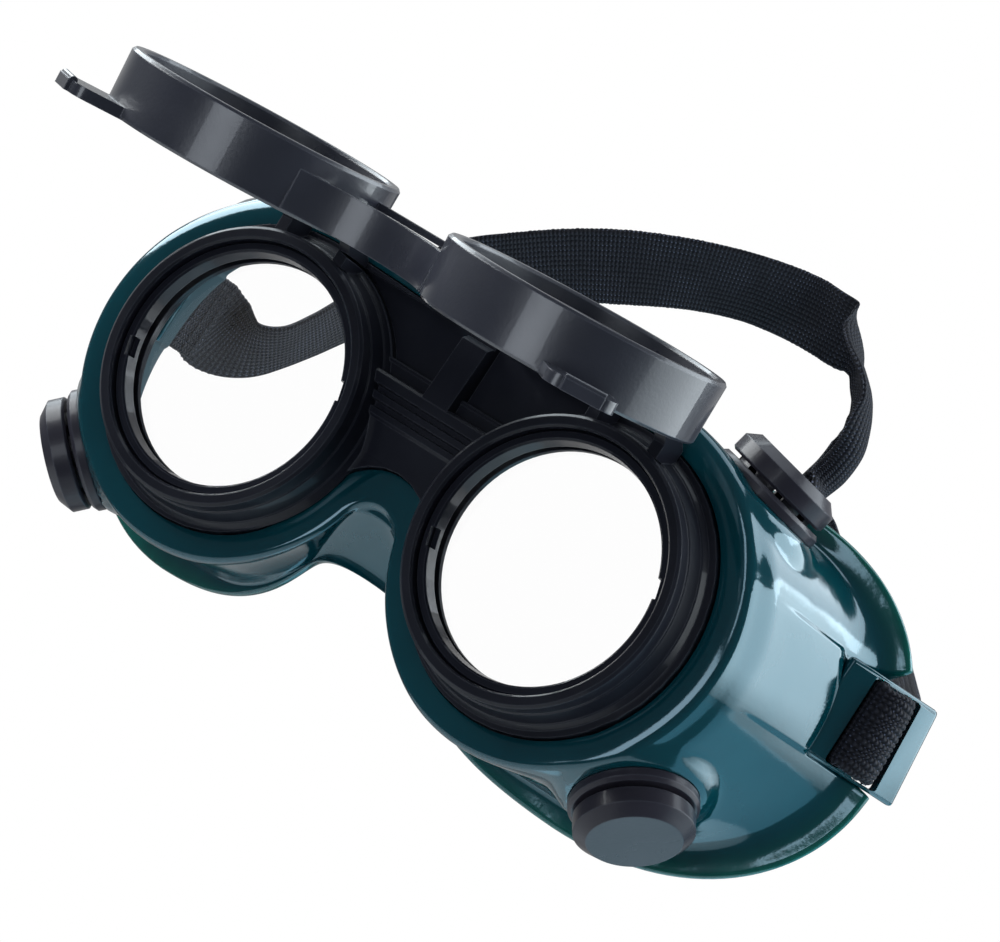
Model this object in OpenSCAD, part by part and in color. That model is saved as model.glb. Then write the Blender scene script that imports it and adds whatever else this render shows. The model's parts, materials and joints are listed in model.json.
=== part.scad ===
// Flip-up welding goggles: a soft vented eyecup body with a rigid twin lens
// frame in front, a hinged shade-lens unit above it and an elastic head strap.
// The origin is the centre of the face opening, -Y is the front, +Z is up
// and +X is the wearer's left.

/* [Lenses] */
// Distance between the two lens centres
lens_spacing = 80.6; // [76:0.1:84]
// Diameter of the round lenses
lens_d = 50; // [49:0.5:50.5]
// Thickness of the clear lenses
clear_lens_t = 2.8; // [2:0.1:3]
// Thickness of the dark lenses
shade_lens_t = 3; // [2.5:0.1:3.2]
// Width of the ledge that each lens rests on
lens_ledge = 1.6; // [1.2:0.1:2]
// Gap between the edge of a lens and its seat
lens_clearance = 0.2; // [0.1:0.05:0.3]

/* [Lens frame] */
// Distance from the front of the lens frame to the face plane
seal_depth = 50; // [46:1:54]
// Distance from the edge of a lens to the outside of its fixed ring
ring_wall = 3.5; // [3.2:0.1:4]
// Thickness of the frame plate that the body grips
plate_t = 2.2; // [1.8:0.1:2.4]
// Height of a retaining ring
retainer_h = 3.2; // [2.6:0.1:3.4]
// Width of the grip notches in the retaining rings
notch_w = 4; // [3:0.5:6]

/* [Eyecup body] */
// Distance from the fixed lens rings to the outside of the front lip
lobe_margin = 8.5; // [8:0.1:9.4]
// Offset of each lobe centre outboard of its lens centre
lobe_shift = 0.7; // [0:0.1:1.5]
// Depth of the front lip behind the front of the lens rings
lip_y = 9.6; // [9:0.1:10]
// Width of the front lip
lip_w = 5.2; // [4.8:0.1:5.4]
// Wall thickness of the body
wall = 2.2; // [1.8:0.1:2.6]
// Half width of the body wall where it meets the face flange
rear_half_w = 91; // [90:0.5:93]
// Half height of the body wall where it meets the face flange
rear_half_h = 32.2; // [31.5:0.1:33]
// Drop of the middle of the face flange below the lens centres
rear_drop = 2; // [1.5:0.5:3.5]
// Width of the face flange
flange_w = 5.7; // [5:0.1:6.5]
// Height of the raised side band that carries each strap lug
band_h = 21; // [20:0.5:22]
// How far the side band stands proud of the wall
band_rise = 1.5; // [1:0.1:2]

/* [Hinge and flip unit] */
// Height of the hinge axis above the lens centres
hinge_z = 33.75; // [33:0.25:34.5]
// Diameter of the hinge pins
pin_d = 2; // [1.8:0.1:2.2]
// Radial running clearance of the hinge pins
pin_clearance = 0.05; // [0.03:0.01:0.08]
// Opening angle of the flip unit as shown
flip_angle = 82; // [0:1:90]
// Distance from the edge of a lens to the outside of its flip-up cup
cup_wall = 3.5; // [3.2:0.1:4]
// Depth of the flip-up cups
cup_h = 12.6; // [12:0.1:14]
// Length of the finger tabs
tab_l = 10; // [8:0.5:12]
// Width of the finger tabs
tab_w = 14; // [12:0.5:16]

/* [Vents] */
// Diameter of the vent bases
vent_d = 24.8; // [24:0.1:26]
// Diameter of the vent caps
vent_cap_d = 23; // [22:0.1:24]
// Diameter of the hole in the body for each vent
vent_hole_d = 16; // [15:0.1:17]

/* [Strap] */
// Width of the elastic strap
strap_w = 18; // [16:0.5:18.5]
// Thickness of the elastic strap
strap_t = 1.4; // [1:0.1:1.8]

/* [Hidden] */
$fn = 96;
cx = lens_spacing / 2;
lens_r = lens_d / 2;
ring_r = lens_r + ring_wall;
cup_r = lens_r + cup_wall;
lobe_x = cx + lobe_shift;
lobe_r = ring_r + lobe_margin;
ledge_r = lens_r - lens_ledge;
seat_r = lens_r + lens_clearance;

// Small vector helpers on plan points [x, z]
function mix(a, b, t) = a + (b - a) * t;
function unit(v) = v / norm(v);
function flip(v) = [-v[0], v[1]];

// Front outline of the body: two lobes, a straight brow and a nose arch.
// The nose arch touches both lobes, which fixes its radius.
nose_top_z = -8;
nose_r = (lobe_x * lobe_x + nose_top_z * nose_top_z - lobe_r * lobe_r) / (2 * (lobe_r + nose_top_z));
nose_z = nose_top_z - nose_r;
nose_tangent = 180 + atan(-nose_z / lobe_x);
// Rear outline of the body wall: two wide lobes, squarer above than below,
// and a low nose arch
rear_x = 57.5;
rear_a = rear_half_w - rear_x;
rear_b = rear_half_h;
rear_low_b = rear_b - 2;
rear_square = 2 / 2.6;
rear_nose_z = -14.5;

// Heights of the side rows, closer together at the edges of the side band
band_z = 7;
band_edge = 0.8;
band_lo = band_z - band_h / 2;
band_hi = band_z + band_h / 2;
side_rows = concat(
  [for (t = [0, 0.5]) mix(0.68 * lobe_r, band_hi, t)],
  [band_hi, band_hi - band_edge],
  [for (t = [0.22, 0.5, 0.78]) mix(band_hi, band_lo, t)],
  [band_lo + band_edge, band_lo],
  [for (t = [0.25, 0.5, 0.75, 1]) mix(band_lo, -0.69 * lobe_r, t)]);
function in_band(z) = (z <= band_hi - band_edge && z >= band_lo + band_edge) ? 1 : 0;
brow_steps = 5;
arc_steps = 5;
under_steps = 16;
nose_steps = 5;

function front_lobe(t) = [lobe_x + lobe_r * cos(t), lobe_r * sin(t)];
function rear_lobe(t) = sin(t) > 0
  ? [rear_x + rear_a * pow(cos(t), rear_square), -rear_drop + rear_b * pow(sin(t), rear_square)]
  : [rear_x + rear_a * cos(t), -rear_drop + rear_low_b * sin(t)];
// Angle at which a rear lobe reaches a given height
function rear_angle(z) = z > -rear_drop
  ? asin(pow((z + rear_drop) / rear_b, 1 / rear_square))
  : asin((z + rear_drop) / rear_low_b);
function bezier(p, t) =
  pow(1 - t, 3) * p[0] + 3 * t * pow(1 - t, 2) * p[1] + 3 * t * t * (1 - t) * p[2] + pow(t, 3) * p[3];
rear_foot = rear_lobe(-90);
rear_arch = [rear_foot, [rear_foot[0] - 25, rear_foot[1] - 0.6], [18, rear_nose_z], [0, rear_nose_z]];

// Right half of each outline, from the brow down the side to the nose
function brow(w, h) = [for (i = [0 : brow_steps - 1]) [w * i / brow_steps, h]];
front_top = asin(side_rows[0] / lobe_r);
front_low = asin(side_rows[len(side_rows) - 1] / lobe_r);
rear_top = rear_angle(side_rows[0]);
rear_low = rear_angle(side_rows[len(side_rows) - 1]);
front_half = concat(
  brow(lobe_x, lobe_r),
  [for (i = [0 : arc_steps - 1]) front_lobe(mix(90, front_top, i / arc_steps))],
  [for (z = side_rows) front_lobe(asin(z / lobe_r))],
  [for (i = [1 : under_steps]) front_lobe(mix(front_low, nose_tangent - 360, i / under_steps))],
  [for (i = [1 : nose_steps])
    let (t = mix(nose_tangent - 180, 90, i / nose_steps)) [nose_r * cos(t), nose_z + nose_r * sin(t)]]);
rear_split = 4;
rear_half = concat(
  brow(rear_x, rear_b - rear_drop),
  [for (i = [0 : arc_steps - 1]) rear_lobe(mix(90, rear_top, i / arc_steps))],
  [for (z = side_rows) rear_lobe(rear_angle(z))],
  [for (i = [1 : rear_split]) rear_lobe(mix(rear_low, -90, i / rear_split))],
  [for (i = [1 : under_steps - rear_split + nose_steps])
    bezier(rear_arch, i / (under_steps - rear_split + nose_steps))]);
// The left half mirrors the right one without its two points on the middle plane
function whole(half) = concat(half, [for (i = [len(half) - 2 : -1 : 1]) flip(half[i])]);
front_line = whole(front_half);
rear_line = whole(rear_half);
turns = len(front_line);

// Outward normal of a closed clockwise outline at one of its points
function normal(line, i) =
  let (n = len(line), d = unit(line[(i + 1) % n] - line[(i + n - 1) % n])) [-d[1], d[0]];

// Depth of the face edge behind the lens rings: it wraps round the temples
// and is cut forward over the nose
face_brow_y = seal_depth - 13.5;
temple_wrap = 21;
temple_x = rear_half_w + 8;
nose_cut = 18;
nose_cut_w = 14;
function face_y(p) =
  face_brow_y + temple_wrap * pow(p[0] / temple_x, 2)
  - (p[1] < -5 ? nose_cut * exp(-pow(p[0] / nose_cut_w, 2)) : 0);

// Section of the body wall: [share of the way to the face, offset outwards,
// extra depth, share of the band rise, share of the flange width]. Behind the
// band's rear edge the wall steps in, which leaves room for the strap.
lip_back = lip_y + 2.05;
groove_back = lip_back + plate_t + 0.1;
groove_in = 1.6;
recess = -1;
section = [
  [0, -lip_w, 0, 0, 0], [0, -1.7, 0, 0, 0], [0, -0.5, 0.45, 0, 0], [0, 0, 1.8, 0, 0],
  [0.14, 0.1, 0, 0, 0], [0.2, 0, 0, 1, 0], [0.36, 0, 0, 1, 0], [0.54, 0, 0, 1, 0], [0.7, 0, 0, 1, 0],
  [0.72, 0, 0, recess, 0], [0.84, 0, 0, recess, 0],
  [0.94, 0.2, 0, recess, 0.12], [1, 0.4, -1.4, recess, 0.4], [1, 0.4, -0.9, recess, 0.94],
  [1, 0.4, 0.1, recess, 1], [1, 0.3, 1, recess, 0.88], [1, -0.6, 1.1, recess, 0.1],
  [1, -1.7, 0.5, recess, 0], [0.9, -wall, 0, recess, 0], [0.72, -wall, 0, recess, 0], [0.66, -wall, 0, 1, 0],
  [0.42, -wall, 0, 1, 0], [0.22, -wall, 0, 1, 0], [0.16, -wall - 0.6, 0, 0, 0]];
// Closed part of the section round the groove that grips the frame plate
grip = [
  [-lip_w + 0.6, groove_back + 2.2], [-lip_w + 0.6, groove_back],
  [-lip_w + groove_in, groove_back], [-lip_w + groove_in, lip_back], [-lip_w, lip_back]];
rows = len(section) + len(grip);

// The lip is wider over the nose and, less so, along the brow
nose_lip = [0.45, 12];
brow_lip = [0.3, 22];
function lip_scale(p) =
  let (more = p[1] < 0 ? nose_lip : brow_lip) 1 + more[0] * exp(-pow(p[0] / more[1], 2));

function wall_point(i, s) =
  let (
    a = front_line[i],
    b = rear_line[i],
    p = mix(a, b, s[0]),
    band = in_band(a[1]) * (abs(a[0]) > lobe_x ? 1 : 0),
    n = unit(mix(normal(front_line, i), normal(rear_line, i), s[0])),
    scale = s[1] < -wall - 1 ? lip_scale(a) : 1,
    off = s[1] * scale + s[3] * band * band_rise + s[4] * flange_w * (1 - band),
    y = mix(lip_y, face_y(b), s[0]) + s[2])
  [p[0] + n[0] * off, y - seal_depth, p[1] + n[1] * off];
function grip_point(i, g) =
  let (a = front_line[i], n = normal(front_line, i), off = g[0] - lip_w * (lip_scale(a) - 1))
  [a[0] + n[0] * off, g[1] - seal_depth, a[1] + n[1] * off];

body_points = [
  for (i = [0 : turns - 1]) for (j = [0 : rows - 1])
    j < len(section) ? wall_point(i, section[j]) : grip_point(i, grip[j - len(section)])];
body_faces = [
  for (i = [0 : turns - 1]) for (j = [0 : rows - 1])
    let (
      a = i * rows + j,
      b = i * rows + (j + 1) % rows,
      c = ((i + 1) % turns) * rows + (j + 1) % rows,
      d = ((i + 1) % turns) * rows + j)
    each [[a, b, c], [a, c, d]]];

// Draws its children standing on the front plane of the lens rings
module at_front() {
  translate([0, -seal_depth, 0]) children();
}

// Turns a profile of [radius, depth] about a lens axis
module turned(points, x) {
  translate([x, 0, 0]) rotate([-90, 0, 0]) rotate_extrude() polygon(points);
}

// Extrudes a plan of [x, z] points from one depth to another
module slab(y0, y1) {
  translate([0, y1, 0]) rotate([90, 0, 0]) linear_extrude(y1 - y0) children();
}

// Extrudes a side view of [y, z] points across the width, centred on x
module across(x, w) {
  translate([x - w / 2, 0, 0]) rotate([90, 0, 90]) linear_extrude(w) children();
}

// Plan of the front opening of the body, drawn in by a margin
module front_plan(margin) {
  polygon([for (i = [0 : turns - 1])
    front_line[i] - normal(front_line, i) * (margin + lip_w * (lip_scale(front_line[i]) - 1))]);
}

// Strap lug: a flat plate with two slots and a cross bar between them
lug_angle = 46;
lug_t = 3;
lug_w = band_h - band_edge;
lug_start = [rear_half_w - 2.4, seal_depth - 7.4];
lug_inner = 3;
lug_slot = 3.4;
lug_bar = 2.8;
lug_outer = 4.6;
lug_len = lug_inner + 2 * lug_slot + lug_bar + lug_outer;
slot_w = strap_w + 0.8;
module at_lug() {
  at_front() translate([lug_start[0], lug_start[1], band_z]) rotate([0, 0, lug_angle]) children();
}
module lug() {
  at_lug() difference() {
    translate([-3, 0, 0]) linear_extrude(lug_w, center = true) union() {
      square([lug_len + 1.5, lug_t]);
      translate([lug_len + 1.5, lug_t / 2]) circle(d = lug_t);
    }
    for (x = [lug_inner, lug_inner + lug_slot + lug_bar])
      translate([x, -1, -slot_w / 2]) cube([lug_slot, lug_t + 2, slot_w]);
  }
}

// Vent places on the right side: seat centre, then outward direction
vent_upper = [[lobe_x + lobe_r / 2, seal_depth - 23, lobe_r - 4.8], [0.22, 0.045, 0.97]];
vent_lower = [[lobe_x + lobe_r - 6.2, seal_depth - 25.8, 9 - lobe_r], [0.66, -0.26, -0.71]];
vent_cut = 24;
module at_vent(place, side) {
  n = unit(place[1]);
  at_front() mirror([side < 0 ? 1 : 0, 0, 0]) translate(place[0])
    rotate([0, acos(n[2]), atan2(n[1], n[0])]) children();
}
boss_r = vent_d / 2 + 0.6;
boss_depth = 3.8;
vent_fit = 0.1;
vent_neck_r = vent_hole_d / 2 - vent_fit;
neck_lip = 0.8;
neck_depth = boss_depth + 0.2;

module goggle_body() {
  color([0.03, 0.3, 0.27]) difference() {
    union() {
      polyhedron(body_points, body_faces);
      for (s = [0, 1]) mirror([s, 0, 0]) lug();
      for (v = [vent_upper, vent_lower], s = [1, -1])
        at_vent(v, s) translate([0, 0, -boss_depth]) cylinder(h = boss_depth, r = boss_r);
    }
    // Hole, flat outer seat and flat inner seat of each vent
    for (v = [vent_upper, vent_lower], s = [1, -1]) at_vent(v, s) {
      translate([0, 0, -vent_cut / 2]) cylinder(h = vent_cut, d = vent_hole_d);
      cylinder(h = vent_cut / 3, r = vent_d / 2 + vent_fit);
      translate([0, 0, -vent_cut / 2]) cylinder(h = vent_cut / 2 - neck_depth, r = vent_neck_r + neck_lip + 0.6);
    }
  }
}

// Fixed frame: two lens rings, a plate held in the groove of the body and a
// stepped bridge panel between the rings
ring_foot_r = ring_r + 2.4;
lens_front = 5;
plate_y = lip_back;
plate_back = plate_y + plate_t;
thread_r = seat_r + 0.7;
// Behind the ledge the bore widens, so that the view stays open
ledge_back = lens_front + clear_lens_t + 1.2;
bore_back_r = ledge_r + 2.8;
bore_back_y = ledge_back + 1.2;
ring_profile = [
  [thread_r + 0.4, 0], [ring_r - 0.6, 0], [ring_r, 0.6], [ring_r, 3.8], [ring_r + 0.3, 4.1],
  [ring_r + 1.1, 7.3], [ring_r + 1.4, 7.5], [ring_foot_r, 9.2], [ring_foot_r, plate_back],
  [bore_back_r, plate_back], [bore_back_r, bore_back_y], [ledge_r, ledge_back],
  [ledge_r, lens_front + clear_lens_t], [seat_r, lens_front + clear_lens_t],
  [seat_r, lens_front], [thread_r, lens_front - 0.1], [thread_r, 0.5]];
rib_w = 6.4;
rib_low = 14;
rib_high = lobe_r - 7.6;
panel_w = 2 * (cx - 10);
panel_y = 10.4;
// Side view of the stepped bridge panel, from the nose up to the brow
bridge_side = [
  [plate_back, -12], [9.4, -12], [8.6, 0], [7, 6.4], [6.2, 7], [6.2, 8.2], [7.2, 8.5], [7.2, 9.4],
  [5.9, 9.7], [5.9, 11], [7, 11.3], [7, 12.2], [5.5, 12.5], [5.5, 14.4], [6.1, 15], [9, 15.2], [9, 17.2],
  [8.4, 17.4], [8.4, 18], [panel_y, 18.2], [panel_y, 30.2], [8.6, 30.6], [8.6, 40], [plate_back, 40]];
hinge_y = 0.6;
lug_gap = 12.6;
hinge_lug_t = 2.6;
hinge_lug_r = 2.3;
pin_r = pin_d / 2;
// Side view of one hinge lug, from the frame up to the hinge axis
module hinge_lug_side() {
  polygon([
    [0.9, ring_r - 1.2], [0.9, hinge_z - 3.4], [hinge_y - hinge_lug_r * 0.9, hinge_z - hinge_lug_r * 0.44],
    [hinge_y + hinge_lug_r * 0.7, hinge_z + hinge_lug_r * 0.71], [lip_y - 1.2, ring_r + 3],
    [lip_y - 1.2, ring_r - 1.2]]);
  translate([hinge_y, hinge_z]) circle(r = hinge_lug_r);
}

module lens_frame() {
  color([0.07, 0.07, 0.08]) at_front() difference() {
    union() {
      for (x = [-cx, cx]) turned(ring_profile, x);
      slab(plate_y, plate_back) front_plan(lip_w - groove_in + 0.3);
      slab(lip_y - 0.9, plate_back) front_plan(lip_w + 0.25);
      intersection() {
        across(0, panel_w) polygon(bridge_side);
        slab(0, plate_back) front_plan(lip_w + 0.25);
      }
      across(0, rib_w) polygon([
        [plate_back, rib_low], [5.6, rib_low], [6.4, rib_high - 1], [8, rib_high], [plate_back, rib_high]]);
      for (x = [-cx, cx], s = [-1, 1])
        across(x + s * (lug_gap + hinge_lug_t) / 2, hinge_lug_t) hinge_lug_side();
    }
    for (x = [-cx, cx]) {
      translate([x, -1, 0]) rotate([-90, 0, 0]) cylinder(h = lens_front + 1, r = thread_r);
      translate([x, lens_front - 0.5, 0]) rotate([-90, 0, 0]) cylinder(h = clear_lens_t + 0.5, r = seat_r);
      translate([x, 6, 0]) rotate([-90, 0, 0]) cylinder(h = 20, r = ledge_r);
      turned([[0, ledge_back], [ledge_r, ledge_back], [bore_back_r, bore_back_y], [bore_back_r, 20], [0, 20]], x);
    }
    // Step where the ring feet meet the lip of the body
    slab(lip_y - 0.3, lip_back) difference() {
      square([4 * cx, 4 * cx], center = true);
      front_plan(lip_w + 0.15);
    }
    // Recess of the upper panel on both sides of the centre rib
    slab(0, panel_y) difference() {
      translate([-cx + 6, 18.2]) square([2 * cx - 12, 12]);
      for (x = [-cx, cx]) translate([x, 0]) circle(r = ring_foot_r);
      translate([-rib_w / 2, 0]) square([rib_w, 40]);
    }
    for (x = [-cx, cx]) translate([x - 12, hinge_y, hinge_z]) rotate([0, 90, 0])
      cylinder(h = 24, r = pin_r + pin_clearance / 2);
  }
}

// Round disc lens on one lens axis, from its front face back
module disc(x, y, t) {
  bevel = 0.4;
  turned([[0, y], [lens_r - bevel, y], [lens_r, y + bevel], [lens_r, y + t - bevel],
    [lens_r - bevel, y + t], [0, y + t]], x);
}

// Screw-in ring that holds a lens against its ledge, with two grip notches
notch_angles = [163, 343];
module retainer(x, y, h) {
  difference() {
    turned([[ledge_r, y], [ledge_r + 0.4, y - h + 0.4], [ledge_r + 0.8, y - h], [thread_r - 0.5, y - h],
      [thread_r - 0.1, y - h + 0.4], [thread_r - 0.1, y]], x);
    for (a = notch_angles) translate([x, 0, 0]) rotate([0, a, 0])
      translate([ledge_r - 1, y - h - 1, -notch_w / 2]) cube([2.2, h, notch_w]);
  }
}

module clear_lens(x) {
  color([0.8, 0.9, 0.95, 0.4]) at_front() disc(x, lens_front, clear_lens_t);
}
module lens_ring(x) {
  color([0.1, 0.1, 0.11]) at_front() retainer(x, lens_front, retainer_h);
}

// The flip unit is drawn closed, in front of the lens rings, and then turned
// up about the hinge axis
cup_gap = 0.3;
cup_front = -cup_gap - cup_h;
shade_front = cup_front + 2.8 + retainer_h;
module opened() {
  at_front() translate([0, hinge_y, hinge_z]) rotate([-flip_angle, 0, 0])
    translate([0, -hinge_y, -hinge_z]) children();
}
cup_profile = [
  [thread_r + 0.5, cup_front], [cup_r - 0.5, cup_front], [cup_r, cup_front + 0.6], [cup_r - 0.4, -cup_gap - 0.5],
  [cup_r - 0.9, -cup_gap], [ledge_r + 0.9, -cup_gap], [ledge_r, -cup_gap - 1.4],
  [ledge_r, shade_front + shade_lens_t], [seat_r, shade_front + shade_lens_t], [seat_r, shade_front],
  [thread_r, shade_front - 0.1], [thread_r, cup_front + 0.5]];
knuckle_r = 2.1;
knuckle_w = lug_gap - 0.4;
tab_t = 2.3;
tab_angle = 51;
// The cups are joined by an arched strip, which is tangent to both of them,
// and by a thin bar near their front edges
bridge_low = -8;
bridge_t = 1.7;
bridge_front = cup_front + 3.9;
arch_r = (cx * cx + bridge_low * bridge_low - cup_r * cup_r) / (2 * (cup_r + bridge_low));
arch_z = bridge_low - arch_r;
bar_z = 4;
bar_front = cup_front + 3.3;
bar_depth = 1.3;
module arched_strip() {
  translate([0, arch_z]) intersection() {
    difference() {
      circle(r = arch_r + bridge_t);
      circle(r = arch_r);
    }
    polygon([[0, 0], [-cx, -arch_z], [cx, -arch_z]]);
  }
}

// Finger tab: a flat tongue with a rolled end, low on the outer side of a cup
module finger_tab(side) {
  translate([side * cx, 0, 0]) rotate([0, side > 0 ? tab_angle : 180 - tab_angle, 0]) {
    slab(-cup_gap - tab_t, -cup_gap) difference() {
      union() {
        translate([cup_r - 2.5, -tab_w / 2]) square([tab_l - 1.5, tab_w]);
        translate([cup_r - 4 + tab_l, -tab_w / 2 + 3]) square([4, tab_w - 6]);
        for (s = [-1, 1]) translate([cup_r - 4 + tab_l, s * (tab_w / 2 - 3)]) circle(r = 3);
      }
      circle(r = cup_r - 1.2);
    }
    translate([cup_r + tab_l - 1, -cup_gap - tab_t, 0]) cylinder(h = tab_w - 6, r = 0.8, center = true);
  }
}

module flip_frame() {
  color([0.17, 0.17, 0.19]) opened() difference() {
    union() {
      for (x = [-cx, cx]) {
        turned(cup_profile, x);
        across(x, knuckle_w) {
          translate([hinge_y, hinge_z]) circle(r = knuckle_r);
          polygon([[hinge_y, hinge_z - knuckle_r], [hinge_y, hinge_z], [hinge_y - knuckle_r, hinge_z],
            [-4.6, cup_r - 1.6], [-cup_gap, cup_r - 1.6]]);
        }
      }
      for (s = [-1, 1]) finger_tab(s);
      difference() {
        union() {
          slab(bridge_front, -cup_gap - 0.6) arched_strip();
          slab(bar_front, bar_front + bar_depth) translate([-cx, bar_z]) square([2 * cx, bridge_t]);
        }
        for (x = [-cx, cx]) translate([x, 1, 0]) rotate([90, 0, 0]) cylinder(h = 20, r = cup_r - 1.2);
      }
    }
    for (x = [-cx, cx]) {
      translate([x, cup_front - 1, 0]) rotate([-90, 0, 0]) cylinder(h = shade_front - cup_front + 1, r = thread_r);
      translate([x, shade_front - 0.5, 0]) rotate([-90, 0, 0]) cylinder(h = shade_lens_t + 0.5, r = seat_r);
      translate([x, -8, 0]) rotate([-90, 0, 0]) cylinder(h = 10, r = ledge_r);
      translate([x - 12, hinge_y, hinge_z]) rotate([0, 90, 0]) cylinder(h = 24, r = pin_r + pin_clearance);
    }
  }
}
module shade_lens(x) {
  color([0.05, 0.12, 0.1]) opened() disc(x, shade_front, shade_lens_t);
}
module shade_ring(x) {
  color([0.17, 0.17, 0.19]) opened() retainer(x, shade_front, retainer_h);
}

// Hinge pin with a small head outside the outer lug
pin_head_t = 0.6;
module hinge_pin(side) {
  reach = (lug_gap + 2 * hinge_lug_t) / 2;
  color([0.6, 0.6, 0.62]) at_front() translate([side * cx, hinge_y, hinge_z]) rotate([0, side * 90, 0]) {
    translate([0, 0, -reach]) cylinder(h = 2 * reach, r = pin_r);
    translate([0, 0, reach]) cylinder(h = pin_head_t, r = pin_r + 0.6);
  }
}

// Indirect vent: a base with a slotted crown, and a cap that seats on it
base_t = 2.6;
crown_r = 9;
crown_h = 3.2;
cap_low = base_t + 0.8;
cap_top = 9;
crown_slots = 8;
module vent_base(place, side) {
  bore = vent_neck_r - 1.9;
  color([0.09, 0.09, 0.1]) at_vent(place, side) difference() {
    rotate_extrude() polygon([
      [bore, -neck_depth - 1.2], [vent_neck_r + 0.2, -neck_depth - 1.2],
      [vent_neck_r + neck_lip, -neck_depth - 0.7], [vent_neck_r + neck_lip, -neck_depth - 0.1],
      [vent_neck_r, -neck_depth - 0.1], [vent_neck_r, 0], [vent_d / 2 - 0.3, 0], [vent_d / 2, 0.4],
      [vent_d / 2, base_t - 0.7], [vent_d / 2 - 0.7, base_t], [crown_r, base_t], [crown_r, base_t + crown_h],
      [crown_r - 1.5, base_t + crown_h], [bore, base_t - 0.8]]);
    for (i = [0 : crown_slots - 1]) rotate([0, 0, 360 / crown_slots * (i + 0.5)])
      translate([0, -1.2, base_t]) cube([crown_r + 1, 2.4, crown_h + 1]);
  }
}
module vent_cap(place, side) {
  rim_r = vent_cap_d / 2;
  color([0.12, 0.12, 0.13]) at_vent(place, side) rotate_extrude() polygon([
    [0, base_t + crown_h], [crown_r + vent_fit, base_t + crown_h], [crown_r + vent_fit, cap_low],
    [rim_r - 0.6, cap_low], [rim_r, cap_low + 0.5], [rim_r, cap_top - 2], [rim_r - 2.4, cap_top], [0, cap_top]]);
}

// Elastic strap. Each station gives the middle of the strap and the direction
// of its width. The ends pass round the cross bars of the lugs and are sewn
// back on the strap.
loop_side = [
  [20, 9.5], [16, 8.6], [12.6, 7.2], [9.6, 5.9], [7, 5], [5.4, 4.2], [4.7, 2.9], [4.7, 0.9], [5.1, -0.5],
  [6.2, -1.1], [7.8, -1.2], [9.4, -1.1], [10.5, -0.4], [10.9, 1], [11.1, 2.6], [12.3, 4.2], [14.6, 5.5], [17.4, 6.8]];
function lug_point(p) = [
  lug_start[0] + p[0] * cos(lug_angle) - p[1] * sin(lug_angle),
  lug_start[1] + p[0] * sin(lug_angle) + p[1] * cos(lug_angle), band_z];
end_loop = [for (p = loop_side) [lug_point(p), [0, 0, 1]]];
free_run = [
  [[-94, 62.5, 7], [0.04, -0.03, 1]], [[-91, 68.5, 5.6], [0.18, -0.25, 0.93]], [[-85.5, 73, 6.2], [0.32, -0.64, 0.69]],
  [[-81, 76.5, 10], [0.33, -0.82, 0.46]], [[-78, 80, 16], [0.27, -0.9, 0.36]], [[-75, 83, 23], [0.2, -0.92, 0.34]],
  [[-69, 87, 35], [0.07, -0.91, 0.4]], [[-62, 91, 45], [-0.05, -0.84, 0.53]], [[-54, 95.5, 52], [-0.07, -0.75, 0.65]],
  [[-45, 100, 59], [-0.06, -0.69, 0.72]], [[-36, 105, 65], [0, -0.64, 0.77]], [[-26, 112, 71], [0.14, -0.64, 0.76]],
  [[-16, 118.5, 75], [0.25, -0.64, 0.73]], [[-7, 123.5, 77], [0.26, -0.68, 0.69]], [[1, 126, 76.5], [0.2, -0.77, 0.6]],
  [[7.5, 126.5, 74], [0.22, -0.9, 0.38]], [[12, 127, 70], [0.36, -0.91, 0.2]], [[15, 128, 66], [0.38, -0.92, 0.05]],
  [[17, 129, 62], [0.3, -0.95, -0.03]], [[18, 129.5, 57], [0.25, -0.97, -0.02]], [[17.5, 129.5, 51.5], [0.2, -0.98, 0]],
  [[15.5, 129.5, 47], [0.2, -0.97, 0.08]], [[14.5, 129.5, 43.5], [0.3, -0.93, 0.18]], [[18, 131, 40], [0.46, -0.84, 0.3]],
  [[25, 132, 36], [0.5, -0.79, 0.35]], [[34, 129.5, 31], [0.46, -0.7, 0.55]], [[45, 122, 26], [0.34, -0.52, 0.78]],
  [[58, 110.5, 20.5], [0.2, -0.28, 0.94]], [[70, 97.5, 15.5], [0.08, -0.12, 0.99]], [[81, 82, 11.5], [0.02, -0.02, 1]],
  [[89.5, 69, 8.5], [0, 0, 1]]];
strap_stations = concat(
  [for (s = end_loop) [flip_x(s[0]), s[1]]],
  free_run,
  [for (i = [len(end_loop) - 1 : -1 : 0]) end_loop[i]]);
function flip_x(p) = [-p[0], p[1], p[2]];
strap_n = len(strap_stations);
// A smooth curve through the stations, with extra rings between them
function spline(a, b, c, d, t) =
  0.5 * (2 * b + (c - a) * t + (2 * a - 5 * b + 4 * c - d) * t * t + (3 * b - a - 3 * c + d) * t * t * t);
function station(i) = strap_stations[max(0, min(strap_n - 1, i))];
strap_fine = 3;
strap_rings = [
  for (i = [0 : strap_n - 2], k = [0 : strap_fine - 1])
    let (t = k / strap_fine)
    [for (part = [0, 1]) spline(station(i - 1)[part], station(i)[part], station(i + 1)[part],
      station(i + 2)[part], t)],
  station(strap_n - 1)];
ring_n = len(strap_rings);
function strap_corners(i) =
  let (
    ring = strap_rings[i],
    along = unit(strap_rings[min(ring_n - 1, i + 1)][0] - strap_rings[max(0, i - 1)][0]),
    across_dir = unit(ring[1] - along * (ring[1] * along)),
    out = cross(along, across_dir),
    w = strap_w / 2,
    t = strap_t / 2)
  [for (c = [[w, t], [w, -t], [-w, -t], [-w, t]]) ring[0] + across_dir * c[0] + out * c[1] - [0, seal_depth, 0]];
strap_points = [for (i = [0 : ring_n - 1]) each strap_corners(i)];
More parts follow.
